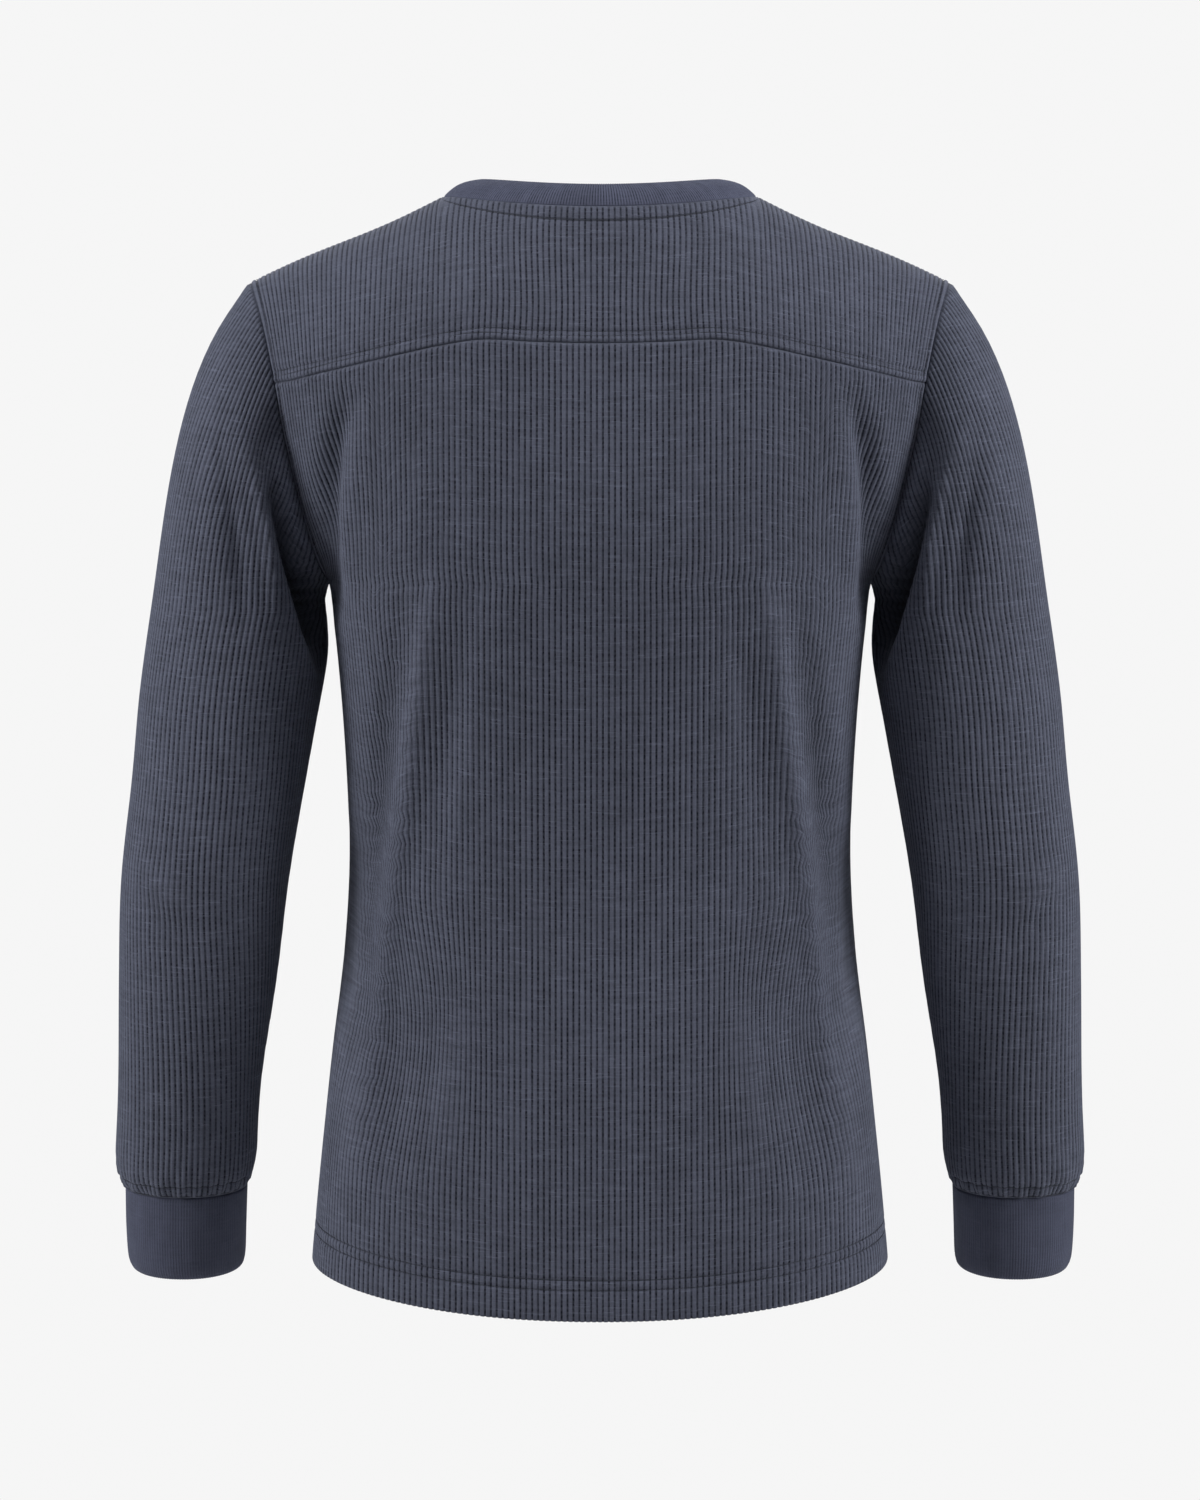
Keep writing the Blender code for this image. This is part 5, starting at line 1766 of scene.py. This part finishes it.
class TOP_OT_body(bpy.types.Operator):
    """Add the ribbed front, back and yoke"""

    bl_idname = "thermal_top.body"
    bl_label = "Front, back and yoke"

    def execute(self, context):
        front = (True, True, ROW_STEP, BESIDE_NECK, FRONT_SHIFT)
        back = (True, False, ROW_STEP, BESIDE_SEAM, BACK_SHIFT)
        yoke = (False, True, YOKE_ROW_STEP, BESIDE_SEAM, YOKE_SHIFT)
        back_grid, yoke_grid = back_and_yoke()
        add_panel(Panel("front_cloth", "front", grids()["front"], *front))
        add_panel(Panel("back_cloth", "back", back_grid, *back))
        add_panel(Panel("yoke_cloth", "back_yoke", yoke_grid, *yoke))
        return {"FINISHED"}


class TOP_OT_sleeves(bpy.types.Operator):
    """Add the two ribbed sleeves"""

    bl_idname = "thermal_top.sleeves"
    bl_label = "Sleeves"

    def execute(self, context):
        add_sleeve("sleeve_right_cloth", "sleeve_right", False, RIGHT_SLEEVE_SHIFT)
        add_sleeve("sleeve_left_cloth", "sleeve_left", True, LEFT_SLEEVE_SHIFT)
        return {"FINISHED"}


class TOP_OT_bands(bpy.types.Operator):
    """Add the neckband and the cuffs"""

    bl_idname = "thermal_top.bands"
    bl_label = "Neckband and cuffs"

    def execute(self, context):
        cuff = grids()["cuff"]
        add_ring("neckband", "collar", grids()["band"], "top", False, NECKBAND_SHIFT)
        add_ring("cuff_right_band", "cuff_right", cuff, "foot", False, RIGHT_CUFF_SHIFT)
        add_ring("cuff_left_band", "cuff_left", cuff, "foot", True, LEFT_CUFF_SHIFT)
        return {"FINISHED"}


class TOP_OT_stitches(bpy.types.Operator):
    """Add the rows of stitches beside the seams and along the hem"""

    bl_idname = "thermal_top.stitches"
    bl_label = "Stitches"

    def execute(self, context):
        back, front, sleeve = (grids()[name] for name in ("back", "front", "sleeve"))
        _, yoke = back_and_yoke()
        neck_lines = [column_path(grid, NECK_STITCH, True, NECK_COLUMNS) for grid in (back, front)]
        add_stitches("neck_stitches", neck_lines)
        add_stitches("yoke_stitches", [column_path(yoke, distance) for distance in YOKE_STITCHES])
        hem_lines = [column_path(grid, row) for grid in (back, front) for row in HEM_STITCHES]
        add_stitches("hem_stitches", hem_lines)
        armhole_lines = [
            edge_path(grid, ARMHOLE_STITCH, last_edge)
            for grid in (back, front)
            for last_edge in (False, True)
        ]
        add_stitches("armhole_stitches", armhole_lines)
        cuff_lines = [column_path(sleeve, distance) for distance in CUFF_STITCHES]
        add_stitches("cuff_stitches", cuff_lines + [mirrored_path(line) for line in cuff_lines])
        return {"FINISHED"}


class TOP_OT_stage(bpy.types.Operator):
    """Add the floor, the background, the lights and the camera"""

    bl_idname = "thermal_top.stage"
    bl_label = "Stage"

    def execute(self, context):
        settings = context.scene.top_stage
        pale_world(settings.background, settings.fill)
        for name, side in LEFT_AND_RIGHT:
            for lamp in PAIRED_LAMPS:
                add_lamp(f"{lamp.setting}_{name}", lamp, side, getattr(settings, lamp.setting))
        add_lamp(TOP_LAMP.setting, TOP_LAMP, 1, settings.top_light)
        place = (0, 0, -settings.floor_drop)
        bpy.ops.mesh.primitive_circle_add(
            vertices=FLOOR_SIDES, radius=FLOOR_RADIUS, fill_type="NGON", location=place
        )
        floor = context.object
        floor.name = "floor"
        floor.data.materials.append(plain_material("pale_floor", FLOOR_COLOUR, FLOOR_ROUGHNESS))
        lens = bpy.data.cameras.new("camera")
        lens.lens = LENS_MM
        lens.sensor_width = SENSOR_MM
        camera = bpy.data.objects.new("camera", lens)
        camera.location = CAMERA_PLACE
        camera.rotation_euler = (math.radians(90 - CAMERA_TILT_DEGREES), 0, 0)
        context.scene.collection.objects.link(camera)
        context.scene.camera = camera
        context.scene.view_settings.view_transform = "Standard"
        return {"FINISHED"}


class TOP_PT_panel(bpy.types.Panel):
    """Sizes and colours of the thermal top, and its pieces"""

    bl_label = "Thermal Top"
    bl_idname = "TOP_PT_panel"
    bl_space_type = "VIEW_3D"
    bl_region_type = "UI"
    bl_category = "Thermal Top"

    def draw(self, context):
        for title, name, _ in SETTINGS:
            box = self.layout.box()
            box.label(text=title)
            settings = getattr(context.scene, name)
            for key in settings.bl_rna.properties.keys():
                if key not in ("rna_type", "name"):
                    box.prop(settings, key)
        for operator in OPERATORS:
            self.layout.operator(operator.bl_idname)


SETTINGS = (
    ("Ribbed cloth", "top_cloth", ClothSettings),
    ("Neckband and cuffs", "top_bands", BandSettings),
    ("Stitches", "top_stitches", StitchSettings),
    ("Stage", "top_stage", StageSettings),
)
OPERATORS = (TOP_OT_body, TOP_OT_sleeves, TOP_OT_bands, TOP_OT_stitches, TOP_OT_stage)


def register():
    for _, name, settings in SETTINGS:
        bpy.utils.register_class(settings)
        setattr(bpy.types.Scene, name, PointerProperty(type=settings))
    for kind in (*OPERATORS, TOP_PT_panel):
        bpy.utils.register_class(kind)


def unregister():
    for kind in (TOP_PT_panel, *reversed(OPERATORS)):
        bpy.utils.unregister_class(kind)
    for _, name, settings in reversed(SETTINGS):
        delattr(bpy.types.Scene, name)
        bpy.utils.unregister_class(settings)


def main():
    register()
    bpy.ops.thermal_top.body()
    bpy.ops.thermal_top.sleeves()
    bpy.ops.thermal_top.bands()
    bpy.ops.thermal_top.stitches()
    bpy.ops.thermal_top.stage()


if __name__ == "__main__":
    main()
